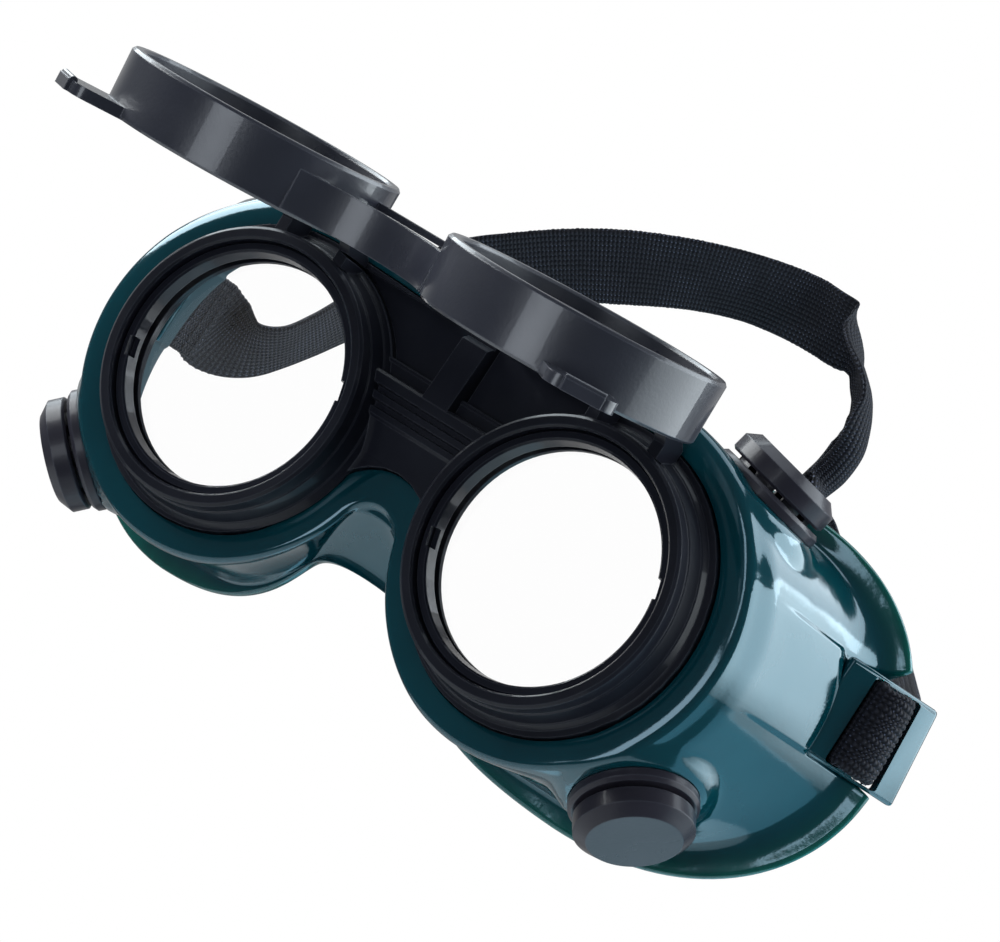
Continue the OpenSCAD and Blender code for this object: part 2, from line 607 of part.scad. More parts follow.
strap_faces = concat(
  [[3, 2, 1], [3, 1, 0]],
  [for (i = [0 : ring_n - 2], j = [0 : 3])
    let (a = 4 * i + j, b = 4 * i + (j + 1) % 4) each [[a, b, b + 4], [a, b + 4, a + 4]]],
  let (e = 4 * (ring_n - 1)) [[e, e + 1, e + 2], [e, e + 2, e + 3]]);
module strap() {
  color([0.1, 0.1, 0.15]) polyhedron(strap_points, strap_faces);
}

goggle_body();
lens_frame();
flip_frame();
strap();
clear_lens(-cx);  // clear_lens_right
clear_lens(cx);  // clear_lens_left
lens_ring(-cx);  // lens_ring_right
lens_ring(cx);  // lens_ring_left
shade_lens(-cx);  // shade_lens_right
shade_lens(cx);  // shade_lens_left
shade_ring(-cx);  // shade_ring_right
shade_ring(cx);  // shade_ring_left
hinge_pin(-1);  // hinge_pin_right
hinge_pin(1);  // hinge_pin_left
vent_base(vent_upper, -1);  // vent_base_upper_right
vent_base(vent_upper, 1);  // vent_base_upper_left
vent_base(vent_lower, -1);  // vent_base_lower_right
vent_base(vent_lower, 1);  // vent_base_lower_left
vent_cap(vent_upper, -1);  // vent_cap_upper_right
vent_cap(vent_upper, 1);  // vent_cap_upper_left
vent_cap(vent_lower, -1);  // vent_cap_lower_right
vent_cap(vent_lower, 1);  // vent_cap_lower_left
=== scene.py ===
import json
import math
import bmesh
import bpy
import numpy as np
from mathutils import Matrix, Vector

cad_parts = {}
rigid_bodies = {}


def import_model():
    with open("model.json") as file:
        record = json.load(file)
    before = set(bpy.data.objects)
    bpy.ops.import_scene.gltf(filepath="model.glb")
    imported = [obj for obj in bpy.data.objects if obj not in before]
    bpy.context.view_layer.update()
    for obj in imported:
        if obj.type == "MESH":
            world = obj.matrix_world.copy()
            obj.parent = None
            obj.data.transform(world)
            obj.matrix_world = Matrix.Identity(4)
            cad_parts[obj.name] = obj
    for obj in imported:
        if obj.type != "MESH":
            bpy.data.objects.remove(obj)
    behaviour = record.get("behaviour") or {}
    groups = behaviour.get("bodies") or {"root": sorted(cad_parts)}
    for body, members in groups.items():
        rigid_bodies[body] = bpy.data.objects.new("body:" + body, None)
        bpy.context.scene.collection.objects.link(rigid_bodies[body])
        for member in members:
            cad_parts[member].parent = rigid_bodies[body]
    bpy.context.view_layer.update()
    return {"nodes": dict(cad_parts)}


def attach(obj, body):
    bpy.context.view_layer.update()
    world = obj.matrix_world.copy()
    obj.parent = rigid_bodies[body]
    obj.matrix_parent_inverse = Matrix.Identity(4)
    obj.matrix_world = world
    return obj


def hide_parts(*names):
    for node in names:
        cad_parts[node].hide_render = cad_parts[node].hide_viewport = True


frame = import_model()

for name in ("Cube", "Light", "Camera"):
    if name in bpy.data.objects:
        bpy.data.objects.remove(bpy.data.objects[name], do_unlink=True)


# Studio view.
# The goggles are seen from the wearer's front left, close to eye level, with
# the camera leaning by a third of a right angle. A plain white table stands
# well below them and the room behind is white.
view_turn = math.radians(29.6585)
view_tilt = math.radians(-1.6379)
view_lean = math.radians(32.7714)
view_distance = 0.946709
centre_right, centre_down = 0.022714, 0.002092
ring_front_y = -0.05
to_camera = Vector((
    math.sin(view_turn) * math.cos(view_tilt),
    -math.cos(view_turn) * math.cos(view_tilt),
    math.sin(view_tilt)))
level_right = Vector((math.cos(view_turn), math.sin(view_turn), 0))
level_up = to_camera.cross(level_right)
view_right = level_right * math.cos(view_lean) + level_up * math.sin(view_lean)
view_up = level_up * math.cos(view_lean) - level_right * math.sin(view_lean)
camera = bpy.data.objects.new("camera", bpy.data.cameras.new("camera"))
camera.data.lens = 180
camera.data.sensor_width = 36
camera.data.clip_start = 0.05
camera.matrix_world = Matrix((
    (view_right.x, view_up.x, to_camera.x, 0),
    (view_right.y, view_up.y, to_camera.y, 0),
    (view_right.z, view_up.z, to_camera.z, 0),
    (0, 0, 0, 1)))
camera.location = (to_camera * view_distance + view_right * centre_right - view_up * centre_down
                   + Vector((0, ring_front_y, 0)))
bpy.context.scene.collection.objects.link(camera)
bpy.context.scene.camera = camera
bpy.context.scene.view_settings.view_transform = "Standard"

# The room: white where it is looked at, through or behind the goggles, and a
# dim grey in front of them, where the dark side of the studio is.
room = bpy.data.worlds.new("room")
bpy.context.scene.world = room
room.use_nodes = True
net = room.node_tree
net.nodes.clear()
out = net.nodes.new("ShaderNodeOutputWorld")
look = net.nodes.new("ShaderNodeLightPath")
where = net.nodes.new("ShaderNodeTexCoord")
dot = net.nodes.new("ShaderNodeVectorMath")
dot.operation = "DOT_PRODUCT"
dot.inputs[1].default_value = -to_camera
net.links.new(where.outputs["Generated"], dot.inputs[0])
behind = net.nodes.new("ShaderNodeMapRange")
behind.interpolation_type = "SMOOTHSTEP"
behind.inputs["From Min"].default_value = 0.6
behind.inputs["From Max"].default_value = 0.95
behind.inputs["To Max"].default_value = 0.35
net.links.new(dot.outputs["Value"], behind.inputs["Value"])
mirror_part = net.nodes.new("ShaderNodeMath")
mirror_part.operation = "MULTIPLY"
net.links.new(look.outputs["Is Glossy Ray"], mirror_part.inputs[0])
net.links.new(behind.outputs["Result"], mirror_part.inputs[1])
seen = net.nodes.new("ShaderNodeMath")
seen.operation = "MAXIMUM"
net.links.new(look.outputs["Is Camera Ray"], seen.inputs[0])
net.links.new(look.outputs["Is Transmission Ray"], seen.inputs[1])
shown = net.nodes.new("ShaderNodeMath")
shown.operation = "MAXIMUM"
net.links.new(seen.outputs[0], shown.inputs[0])
net.links.new(mirror_part.outputs[0], shown.inputs[1])
white = net.nodes.new("ShaderNodeBackground")
white.inputs["Color"].default_value = (1, 1, 1, 1)
white.inputs["Strength"].default_value = 1
dim = net.nodes.new("ShaderNodeBackground")
dim.inputs["Color"].default_value = (0.8, 0.9, 1, 1)
dim.inputs["Strength"].default_value = 0.10
both = net.nodes.new("ShaderNodeMixShader")
net.links.new(shown.outputs[0], both.inputs["Fac"])
net.links.new(dim.outputs[0], both.inputs[1])
net.links.new(white.outputs[0], both.inputs[2])
net.links.new(both.outputs[0], out.inputs["Surface"])

# The table top is a round white board. It keeps the soft shadow.
table_radius = 0.95
table_place = (0, 0.05, -0.85)
table = bmesh.new()
bmesh.ops.create_circle(table, cap_ends=True, radius=table_radius, segments=96)
table_top = bpy.data.meshes.new("table_top")
table.to_mesh(table_top)
table.free()
table_top.transform(Matrix.Translation(table_place))
table_top = bpy.data.objects.new("table_top", table_top)
bpy.context.scene.collection.objects.link(table_top)
paint = bpy.data.materials.new("white_board")
paint.use_nodes = True
net = paint.node_tree
grain = net.nodes.new("ShaderNodeTexNoise")
grain.inputs["Scale"].default_value = 900
ramp = net.nodes.new("ShaderNodeValToRGB")
ramp.color_ramp.elements[0].color = (0.86, 0.86, 0.86, 1)
ramp.color_ramp.elements[1].color = (0.9, 0.9, 0.9, 1)
coord = net.nodes.new("ShaderNodeTexCoord")
net.links.new(coord.outputs["Object"], grain.inputs["Vector"])
net.links.new(grain.outputs["Fac"], ramp.inputs["Fac"])
net.links.new(ramp.outputs["Color"], net.nodes["Principled BSDF"].inputs["Base Color"])
net.nodes["Principled BSDF"].inputs["Roughness"].default_value = 0.7
table_top.data.materials.append(paint)


# Softboxes.
# Rectangular lamps with a cloth front. Each line says where the lamp stands,
# what it faces, its width, height, brightness and colour. The low one lies
# under the side that is seen and lights it from below.
softboxes = {
    "side_box": ((0.88, 0.46, 0.30), (0, 0, 0), 1.25, 1.05, 4.6, (0.86, 0.95, 1)),
    "low_box": ((0.66, 0.50, -0.245), (0.66, 0.50, 1), 1.22, 0.88, 0.9, (0.34, 0.78, 1)),
    "back_box": ((0.33, 0.60, 0.82), (0, 0, 0), 0.72, 0.5, 3.4, (0.84, 0.93, 1)),
    "front_box": ((0.06, -1.0, -0.20), (0, 0, 0), 0.42, 0.5, 3.4, (0.84, 0.91, 1)),
    "front_strip": ((0.16, -0.95, 0.42), (0, 0, 0), 0.14, 0.6, 3.0, (0.84, 0.91, 1)),
    "top_box": ((-0.1, 0.15, 1.0), (0, 0, 0), 0.6, 0.6, 1.8, (0.84, 0.92, 1)),
    "rim_box": ((-0.74, 0.24, 0.62), (0, 0, 0), 0.55, 0.75, 4.4, (0.86, 0.95, 1)),
    "lip_box": ((-0.90, -0.33, 0.37), (0, 0, 0), 0.75, 0.46, 9.0, (0.94, 0.98, 1))}
for name, (place, target, wide, high, glow, tint) in softboxes.items():
    lamp = bpy.data.lights.new(name, "AREA")
    lamp.shape = "RECTANGLE"
    lamp.size = wide
    lamp.size_y = high
    lamp.energy = glow * math.pi * wide * high
    lamp.color = tint
    if name == "side_box":
        # The cloth glows less towards its lower edge
        lamp.use_nodes = True
        net = lamp.node_tree
        split = net.nodes.new("ShaderNodeSeparateXYZ")
        fade = net.nodes.new("ShaderNodeMapRange")
        fade.interpolation_type = "SMOOTHSTEP"
        fade.inputs["From Min"].default_value = -0.20
        fade.inputs["From Max"].default_value = 0.16
        fade.inputs["To Min"].default_value = 0.25
        net.links.new(net.nodes.new("ShaderNodeNewGeometry").outputs["Position"], split.inputs[0])
        net.links.new(split.outputs["Z"], fade.inputs["Value"])
        glow_node = [made for made in net.nodes if made.type == "EMISSION"][0]
        net.links.new(fade.outputs["Result"], glow_node.inputs["Strength"])
    box = bpy.data.objects.new(name, lamp)
    box.location = place
    box.rotation_euler = (Vector(target) - Vector(place)).to_track_quat("-Z", "Y").to_euler()
    box.visible_camera = False
    bpy.context.scene.collection.objects.link(box)


# Eyecup body.
# One soft, glossy PVC moulding in dark teal. It is cast in one piece round a
# steel core: a lip that grips the lens frame, a thin wall that widens to the
# face, a flange that rests on the skin, and a thick side band with strap lugs.
mm = 0.001
seal_depth = 50
lobe_x = 41.0
lobe_r = 37.0
lip_y = 9.6
lip_w = 5.2
wall = 2.2
rear_half_w = 92.3
temple_x = 99
brow_depth = 36.5
temple_wrap = 21
nose_cut = 15.5
nose_cut_w = 40
rear_x = 57.5
rear_a = rear_half_w - rear_x
rear_b = 32.2
rear_drop = 2.0
rear_low_x = rear_x - 4.7
rear_low_a = rear_half_w - rear_low_x
rear_low_b = rear_b + 0.9
rear_square = 2 / 2.42
rear_low_square = 0.94
rear_nose_z = -14.8
flange_w = 5.7
band_z = 7.0
band_h = 21.0
band_edge = 0.8
band_rise = 0.45
band_lo = band_z - band_h / 2
band_hi = band_z + band_h / 2
nose_top_z = -8.0
nose_r = (lobe_x ** 2 + nose_top_z ** 2 - lobe_r ** 2) / (2 * (lobe_r + nose_top_z))
nose_z = nose_top_z - nose_r
nose_tangent = 180 + math.degrees(math.atan(-nose_z / lobe_x))


def cosd(a):
    return np.cos(np.radians(a))


def sind(a):
    return np.sin(np.radians(a))


def front_lobe(a):
    return np.stack([lobe_x + lobe_r * cosd(a), lobe_r * sind(a)], 1)


def rear_lobe(a):
    c, s = cosd(a), sind(a)
    high = s > 0
    x = np.where(high, rear_x + rear_a * np.abs(c) ** rear_square,
                 rear_low_x + rear_low_a * np.abs(c) ** rear_low_square)
    z = np.where(high, rear_b * np.abs(s) ** rear_square,
                 -rear_low_b * np.abs(s) ** rear_low_square) - rear_drop
    return np.stack([x, z], 1)


def rear_angle(z):
    high = np.degrees(np.arcsin(np.clip((z + rear_drop) / rear_b, 0, 1) ** (1 / rear_square)))
    low = np.clip(-(z + rear_drop) / rear_low_b, 0, 1)
    low = -np.degrees(np.arcsin(low ** (1 / rear_low_square)))
    return np.where(z > -rear_drop, high, low)


def steps(count):
    return np.arange(count) / count


side_top, side_low = 0.68 * lobe_r, -0.69 * lobe_r
side_z = np.concatenate([
    np.linspace(side_top, band_hi + 0.6, 12, endpoint=False),
    np.linspace(band_hi + 0.6, band_hi - 1.8, 14, endpoint=False),
    np.linspace(band_hi - 1.8, band_lo + 1.8, 26, endpoint=False),
    np.linspace(band_lo + 1.8, band_lo - 0.6, 14, endpoint=False),
    np.linspace(band_lo - 0.6, side_low, 24)])
front_low = math.degrees(math.asin(side_low / lobe_r))
front_top = math.degrees(math.asin(side_top / lobe_r))
rear_top = float(rear_angle(np.array([side_top]))[0])
rear_low = float(rear_angle(np.array([side_low]))[0])
brow_t, arc_t = steps(26), steps(22)
under_t = (1 + np.arange(64)) / 64
nose_t = (1 + np.arange(26)) / 26
turn_nose = nose_tangent - 180 + (90 - nose_tangent + 180) * nose_t
front_half = np.concatenate([
    np.stack([lobe_x * brow_t, lobe_r + 0 * brow_t], 1),
    front_lobe(90 + (front_top - 90) * arc_t),
    front_lobe(np.degrees(np.arcsin(side_z / lobe_r))),
    front_lobe(front_low + (nose_tangent - 360 - front_low) * under_t),
    np.stack([nose_r * cosd(turn_nose), nose_z + nose_r * sind(turn_nose)], 1)])
foot = rear_lobe(np.array([-90.0]))[0]
arch = np.array([foot, [foot[0] - 44.7, foot[1] + 1], [33.5, rear_nose_z], [0, rear_nose_z]])
lobe_part = under_t[under_t <= 0.25] * 4
arch_part = np.arange(1, len(under_t) - len(lobe_part) + len(nose_t) + 1)
arch_t = (arch_part / arch_part[-1])[:, None]
rear_half = np.concatenate([
    np.stack([rear_x * brow_t, rear_b - rear_drop + 0 * brow_t], 1),
    rear_lobe(90 + (rear_top - 90) * arc_t),
    rear_lobe(rear_angle(side_z)),
    rear_lobe(rear_low + (-90 - rear_low) * lobe_part),
    (1 - arch_t) ** 3 * arch[0] + 3 * arch_t * (1 - arch_t) ** 2 * arch[1]
    + 3 * arch_t ** 2 * (1 - arch_t) * arch[2] + arch_t ** 3 * arch[3]])


def both_halves(half):
    return np.concatenate([half, half[-2:0:-1] * [-1, 1]])


front_line = both_halves(front_half)
rear_line = both_halves(rear_half)


def outward(line, smooth):
    d = np.roll(line, -1, 0) - np.roll(line, 1, 0)
    n = np.stack([-d[:, 1], d[:, 0]], 1)
    n /= np.linalg.norm(n, axis=1)[:, None]
    for _ in range(smooth):
        n = (np.roll(n, 1, 0) + 2 * n + np.roll(n, -1, 0)) / 4
    return n / np.linalg.norm(n, axis=1)[:, None]


front_out = outward(front_line, 10)
rear_out = outward(rear_line, 14)


def ease(x, lo, hi):
    t = np.clip((x - lo) / (hi - lo), 0, 1)
    return t * t * (3 - 2 * t)


zf = front_line[:, 1]
on_band = (ease(zf, band_lo - 0.1, band_lo + 1.1) * (1 - ease(zf, band_hi - 1.1, band_hi + 0.1))
           * (np.abs(front_line[:, 0]) > lobe_x))
face_edge = (brow_depth + temple_wrap * (rear_line[:, 0] / temple_x) ** 2
             - np.where(rear_line[:, 1] < -5,
                        nose_cut * np.exp(-(rear_line[:, 0] / nose_cut_w) ** 2), 0))
lip_wider = 1 + np.where(zf < 0, 0.45 * np.exp(-(front_line[:, 0] / 12) ** 2),
                         0.3 * np.exp(-(front_line[:, 0] / 22) ** 2))
# The lip rolls over further on the outer side of each cup, and the wall runs
# down to the nose without a flange
lean = np.degrees(np.arctan2(front_out[:, 1], np.abs(front_out[:, 0])))
roll = ((0.5 + 0.8 * ease(lean, -60, -20) + 1.1 * np.exp(-((lean - 2) / 32) ** 2))
        * ease(np.abs(front_line[:, 0]), 14, 32))
roll_deep = {
    0: (0, 0), 0.2: (0, 0), 0.6: (0.02, 0.12), 0.85: (0.15, 0.32), 0.95: (0.4, 0.42), 1: (0.8, 0.4)}
on_nose = np.where(rear_line[:, 1] < -5, np.exp(-(rear_line[:, 0] / 36) ** 4), 0)
lip_back = lip_y + 2.05
groove_back = lip_back + 2.2 + 0.1
# Rows of the wall's section: share of the way back, offset outwards, extra
# depth, share of the band's rise, of the flange, sharpness, share of the roll
section = [
    (0, -lip_w, 0.3, 0, 0, 0.8, 0), (0, -3.6, 0, 0, 0, 0, 0.2), (0, -2.2, 0, 0, 0, 0, 0.6),
    (0, -1.2, 0.06, 0, 0, 0, 0.85), (0, -0.4, 0.45, 0, 0, 0, 0.95), (0, 0, 1.4, 0, 0, 0, 1),
    (0.14, 0.1, 0, 0, 0, 0, 1), (0.2, 0, 0, 0, 0, 0.1, 0.9), (0.36, 0, 0, 0.45, 0, 0, 0.6),
    (0.54, 0, 0, 1, 0, 0, 0.25), (0.7, 0, 0, 1, 0, 0.8, 0.05), (0.72, 0, 0, -1, 0, 0.6, 0.03),
    (0.84, 0, 0, -1, 0, 0, 0), (0.94, 0.2, 0, -1, 0.12, 0, 0), (1, 0.4, -1.4, -1, 0.4, 0, 0),
    (1, 0.4, -0.9, -1, 0.94, 0.5, 0), (1, 0.4, 0.1, -1, 1, 0.4, 0), (1, 0.3, 1, -1, 0.88, 0.3, 0),
    (1, -0.6, 1.1, -1, 0.1, 0, 0), (1, -1.7, 0.5, -1, 0, 0, 0), (0.9, -wall, 0, -1, 0, 0, 0),
    (0.72, -wall, 0, -1, 0, 0, 0), (0.66, -wall, 0, 1, 0, 0, 0), (0.42, -wall, 0, 1, 0, 0, 0),
    (0.24, -wall, 1, 1, 0, 0, 0), (0.2, -wall - 0.6, 1.4, 0, 0, 0, 0)]
grip = [
    (-lip_w + 0.6, groove_back + 2.2, 0.4), (-lip_w + 0.6, groove_back, 1),
    (-lip_w + 1.6, groove_back, 1), (-lip_w + 1.6, lip_back, 1), (-lip_w, lip_back, 1)]
rows, sharp, rim_share, inner_share = [], [], [], []
for back, off, deep, rise, wide, edge, rolled in section:
    n = front_out * (1 - back) + rear_out * back
    n /= np.linalg.norm(n, axis=1)[:, None]
    p = front_line * (1 - back) + rear_line * back
    scale = lip_wider if off < -wall - 1 else 1
    d = (off * scale + rise * on_band * band_rise + wide * flange_w * (1 - on_band) * (1 - on_nose)
         + rolled * roll + back ** 1.5 * on_nose * 0.95 * flange_w)
    y = lip_y * (1 - back) + face_edge * back + deep
    if back == 0:
        y = y + roll * (roll_deep[rolled][0] + roll_deep[rolled][1] * ease(lean, 20, 55))
    rows.append(np.stack([p[:, 0] + n[:, 0] * d, y - seal_depth, p[:, 1] + n[:, 1] * d], 1))
    sharp.append(edge)
    rim_share.append(wide * (1 - on_band) * (1 - 0.6 * on_nose))
    inner_share.append(0 * zf + (1 if off <= -1.7 and back > 0 else 0))
for off, y, edge in grip:
    d = off - lip_w * (lip_wider - 1)
    rows.append(np.stack([front_line[:, 0] + front_out[:, 0] * d, 0 * d + y - seal_depth,
                          front_line[:, 1] + front_out[:, 1] * d], 1))
    sharp.append(edge)
    rim_share.append(0 * d)
    inner_share.append(1 + 0 * d)
shell_rows = np.stack(rows, 1)
rim_rows = np.stack([np.stack(rim_share, 1), np.stack(inner_share, 1)], 2)
sharp = np.array(sharp)
# The section is rounded twice, as a file and a polish round the mould's edges
for _ in range(2):
    both_sides = np.concatenate([shell_rows, rim_rows], 2)
    before, after = np.roll(both_sides, 1, 1), np.roll(both_sides, -1, 1)
    soft = (before + 6 * both_sides + after) / 8
    kept = soft + (both_sides - soft) * sharp[None, :, None]
    between = (both_sides + after) / 2
    woven = np.stack([kept, between], 2).reshape(len(kept), -1, 5)
    shell_rows, rim_rows = woven[:, :, :3], woven[:, :, 3:]
    sharp = np.stack([sharp, 0 * sharp], 1).reshape(-1)
# The wall swells softly to meet the round seat of each vent, up to a rim that
# fades into the wall between the two radii of vent_collar
vent_collar = (12.2, 16.8)
vent_rim = 0.25
outer_count = 15
vent_places = {
    "upper": (Vector((lobe_x + lobe_r / 2, 27, lobe_r - 4.8)),
              Vector((0.22, 0.045, 0.97)).normalized()),
    "lower": (Vector((lobe_x + lobe_r - 6.2, 24.2, 9 - lobe_r)),
              Vector((0.66, -0.26, -0.71)).normalized())}
outer_rows = np.arange(shell_rows.shape[1]) < 4 * outer_count
for which, (spot, out_dir) in vent_places.items():
    for side in (1, -1):
        axis = np.array(out_dir) * [side, 1, 1]
        reach = shell_rows - (np.array(spot) - [0, seal_depth, 0]) * [side, 1, 1]
        height = reach @ axis
        aside = np.linalg.norm(reach - height[..., None] * axis, axis=2)
        lift = np.clip(vent_rim - height, 0, 6) * (1 - ease(aside, *vent_collar)) * outer_rows[None, :]
        shell_rows = shell_rows + np.where((height > -7) & (height < 4), lift, 0)[..., None] * axis
turns, count = shell_rows.shape[:2]
corner = np.arange(turns)[:, None] * count + np.arange(count)[None, :]
next_turn, next_row = np.roll(corner, -1, 0), np.roll(corner, -1, 1)
quads = np.stack([corner, next_turn, np.roll(next_turn, -1, 1), next_row], 2).reshape(-1, 4)
shell = bpy.data.meshes.new("eyecup_shell")
shell.from_pydata((shell_rows.reshape(-1, 3) * mm).tolist(), [], quads.tolist())
for k, name in enumerate(("rim", "inner")):
    shell.attributes.new(name, "FLOAT", "POINT").data.foreach_set("value", rim_rows[:, :, k].reshape(-1))
eyecup = bpy.data.objects.new("eyecup_shell", shell)
bpy.context.scene.collection.objects.link(eyecup)


def from_bmesh(name, bm):
    bmesh.ops.recalc_face_normals(bm, faces=bm.faces)
    mesh = bpy.data.meshes.new(name)
    bm.to_mesh(mesh)
    bm.free()
    piece = bpy.data.objects.new(name, mesh)
    bpy.context.scene.collection.objects.link(piece)
    return piece


def turned_solid(name, profile, place):
    """A closed solid turned from (radius, height) points, all in mm."""
    segments = 96
    bm = bmesh.new()
    ring = []
    for r, h in profile:
        if r == 0:
            ring.append([bm.verts.new(place @ Vector((0, 0, h)))])
        else:
            ring.append([bm.verts.new(place @ Vector((
                r * math.cos(2 * math.pi * k / segments), r * math.sin(2 * math.pi * k / segments), h)))
                for k in range(segments)])
    for a, b in zip(ring, ring[1:] + ring[:1]):
        for k in range(segments):
            m = (k + 1) % segments
            four = [a[k % len(a)], a[m % len(a)], b[m % len(b)], b[k % len(b)]]
            face = list(dict.fromkeys(four))
            if len(face) > 2:
                bm.faces.new(face)
    return from_bmesh(name, bm)


def cut_or_join(piece, other, how):
    step = piece.modifiers.new(how, "BOOLEAN")
    step.operation = how
    step.solver = "MANIFOLD"
    step.object = other
    bake(piece)
    bpy.data.objects.remove(other, do_unlink=True)


def bake(piece):
    """Turns a piece with its modifiers into a plain mesh."""
    seen_piece = piece.evaluated_get(bpy.context.evaluated_depsgraph_get())
    mesh = bpy.data.meshes.new_from_object(seen_piece, preserve_all_data_layers=True,
                                           depsgraph=bpy.context.evaluated_depsgraph_get())
    piece.modifiers.clear()
    old = piece.data
    piece.data = mesh
    mesh.name = piece.name
    bpy.data.meshes.remove(old)


def sharpen(piece, angle):
    """Smooth shading that keeps edges steeper than the angle, in degrees."""
    bm = bmesh.new()
    bm.from_mesh(piece.data)
    for e in bm.edges:
        e.smooth = not (len(e.link_faces) == 2 and e.calc_face_angle() > math.radians(angle))
    for f in bm.faces:
        f.smooth = True
    bm.to_mesh(piece.data)
    bm.free()


# Strap lugs: flat plates that leave the side band, each with two slots
lug_angle, lug_t, lug_w = 46, 3.0, band_h - band_edge
lug_start = (88.6, 42.6)
lug_root, lug_inner, lug_slot, lug_bar, lug_outer = 3, 3, 3.4, 2.8, 4.6
lug_len = lug_inner + 2 * lug_slot + lug_bar + lug_outer
slot_half_w = 9.4
bend_at, bend_angle = 12.2, 20


def lug_place(side):
    turn = Matrix.Rotation(math.radians(lug_angle), 4, "Z")
    place = Matrix.Translation((lug_start[0], lug_start[1] - seal_depth, band_z)) @ turn
    return Matrix.Diagonal((side, 1, 1, 1)) @ place


def block(name, low, high, place, round_by):
    bm = bmesh.new()
    bmesh.ops.create_cube(bm, size=1)
    for v in bm.verts:
        v.co = Vector([lo + (hi - lo) * (c + 0.5) for lo, hi, c in zip(low, high, v.co)])
    bmesh.ops.bevel(bm, geom=bm.edges[:], offset=round_by, segments=3, affect="EDGES", profile=0.5)
    bm.transform(Matrix.Scale(mm, 4) @ place)
    return from_bmesh(name, bm)


for side in (1, -1):
    lug = block("lug", (-lug_root, 0, -lug_w / 2), (lug_len - 0.1, lug_t, lug_w / 2), lug_place(side), 0.9)
    for start in (lug_inner, lug_inner + lug_slot + lug_bar):
        slot = block("slot", (start, -1, -slot_half_w), (start + lug_slot, lug_t + 1, slot_half_w),
                     lug_place(side), 0.7)
        cut_or_join(lug, slot, "DIFFERENCE")
    # The end bar is bent back a little and the strap has pulled it out of true
    place = Matrix.Scale(mm, 4) @ lug_place(side)
    back_way = place.inverted()
    for v in lug.data.vertices:
        at = back_way @ v.co
        past = at.x - bend_at
        bend = math.radians(bend_angle) * min(max(past / 2.0, 0), 1)
        at = Vector((bend_at + past * math.cos(bend) - 0.5 * at.y * math.sin(bend),
                     at.y + past * math.sin(bend), at.z))
        pulled = 0.7 * float(ease(at.x, 9.6, 12.4)) + 0.3 * float(ease(at.x, 12.4, 17))
        at.x += (1.5 + 2.2 * (0.5 - at.z / lug_w)) * pulled
        v.co = place @ at
    cut_or_join(eyecup, lug, "UNION")


# Vent seats: a flat round boss inside, a flat seat outside and a round hole
boss_r, boss_depth, vent_seat_r, vent_hole_r = 12.3, 3.8, 9.3, 8


def vent_place(which, side):
    spot, out_dir = vent_places[which]
    turn = (Matrix.Rotation(math.atan2(out_dir.y, out_dir.x), 4, "Z")
            @ Matrix.Rotation(math.acos(out_dir.z), 4, "Y"))
    place = Matrix.Translation(spot - Vector((0, seal_depth, 0))) @ turn
    return Matrix.Scale(mm, 4) @ Matrix.Diagonal((side, 1, 1, 1)) @ place


for which in vent_places:
    for side in (1, -1):
        place = vent_place(which, side)
        cut_or_join(eyecup, turned_solid(
            "boss", [(0, -boss_depth), (boss_r - 0.7, -boss_depth), (boss_r, 0.6 - boss_depth),
                     (boss_r, 0), (0, 0)], place), "UNION")
        cut_or_join(eyecup, turned_solid(
            "hole", [(0, -12), (vent_seat_r, -12), (vent_seat_r, -4), (vent_hole_r, -4), (vent_hole_r, 0),
                     (boss_r + 0.2, 0), (boss_r + 0.2, 8), (0, 8)], place), "DIFFERENCE")
sharpen(eyecup, 38)


# Clear teal PVC: a coloured body under a wet-looking skin, a little green and
# lighter where the flange is thin, with faint flow waves and moulding haze
def shader_net(material):
    net = material.node_tree
    return net, net.nodes["Principled BSDF"]


def node(net, kind, **values):
    made = net.nodes.new(kind)
    for key, value in values.items():
        if key in made.inputs:
            made.inputs[key].default_value = value
        else:
            setattr(made, key, value)
    return made


def noise(net, coord, scale, detail=2.0, rough=0.5):
    made = net.nodes.new("ShaderNodeTexNoise")
    made.inputs["Scale"].default_value = scale
    made.inputs["Detail"].default_value = detail
    made.inputs["Roughness"].default_value = rough
    net.links.new(coord, made.inputs["Vector"])
    return made.outputs["Fac"]


def colour_steps(net, value, stops):
    made = net.nodes.new("ShaderNodeValToRGB")
    ramp = made.color_ramp
    while len(ramp.elements) < len(stops):
        ramp.elements.new(0.5)
    for spot, (at, colour) in zip(ramp.elements, stops):
        spot.position = at
        spot.color = (*colour, 1)
    net.links.new(value, made.inputs["Fac"])
    return made.outputs["Color"]


def value_range(net, value, low, high, from_low=0.0, from_high=1.0):
    made = net.nodes.new("ShaderNodeMapRange")
    made.inputs["From Min"].default_value = from_low
    made.inputs["From Max"].default_value = from_high
    made.inputs["To Min"].default_value = low
    made.inputs["To Max"].default_value = high
    net.links.new(value, made.inputs["Value"])
    return made.outputs["Result"]


def blend_colours(net, share, a, b):
    made = net.nodes.new("ShaderNodeMix")
    made.data_type = "RGBA"
    if isinstance(share, float):
        made.inputs["Factor"].default_value = share
    else:
        net.links.new(share, made.inputs["Factor"])
    for slot_name, colour in (("A", a), ("B", b)):
        socket = [s for s in made.inputs if s.name == slot_name and s.type == "RGBA"][0]
        if isinstance(colour, tuple):
            socket.default_value = (*colour, 1)
        else:
            net.links.new(colour, socket)
    return [s for s in made.outputs if s.type == "RGBA"][0]


def bumps(net, height, depth, normal=None):
    made = net.nodes.new("ShaderNodeBump")
    made.inputs["Strength"].default_value = 1
    made.inputs["Distance"].default_value = depth
    net.links.new(height, made.inputs["Height"])
    if normal:
        net.links.new(normal, made.inputs["Normal"])
    return made.outputs["Normal"]


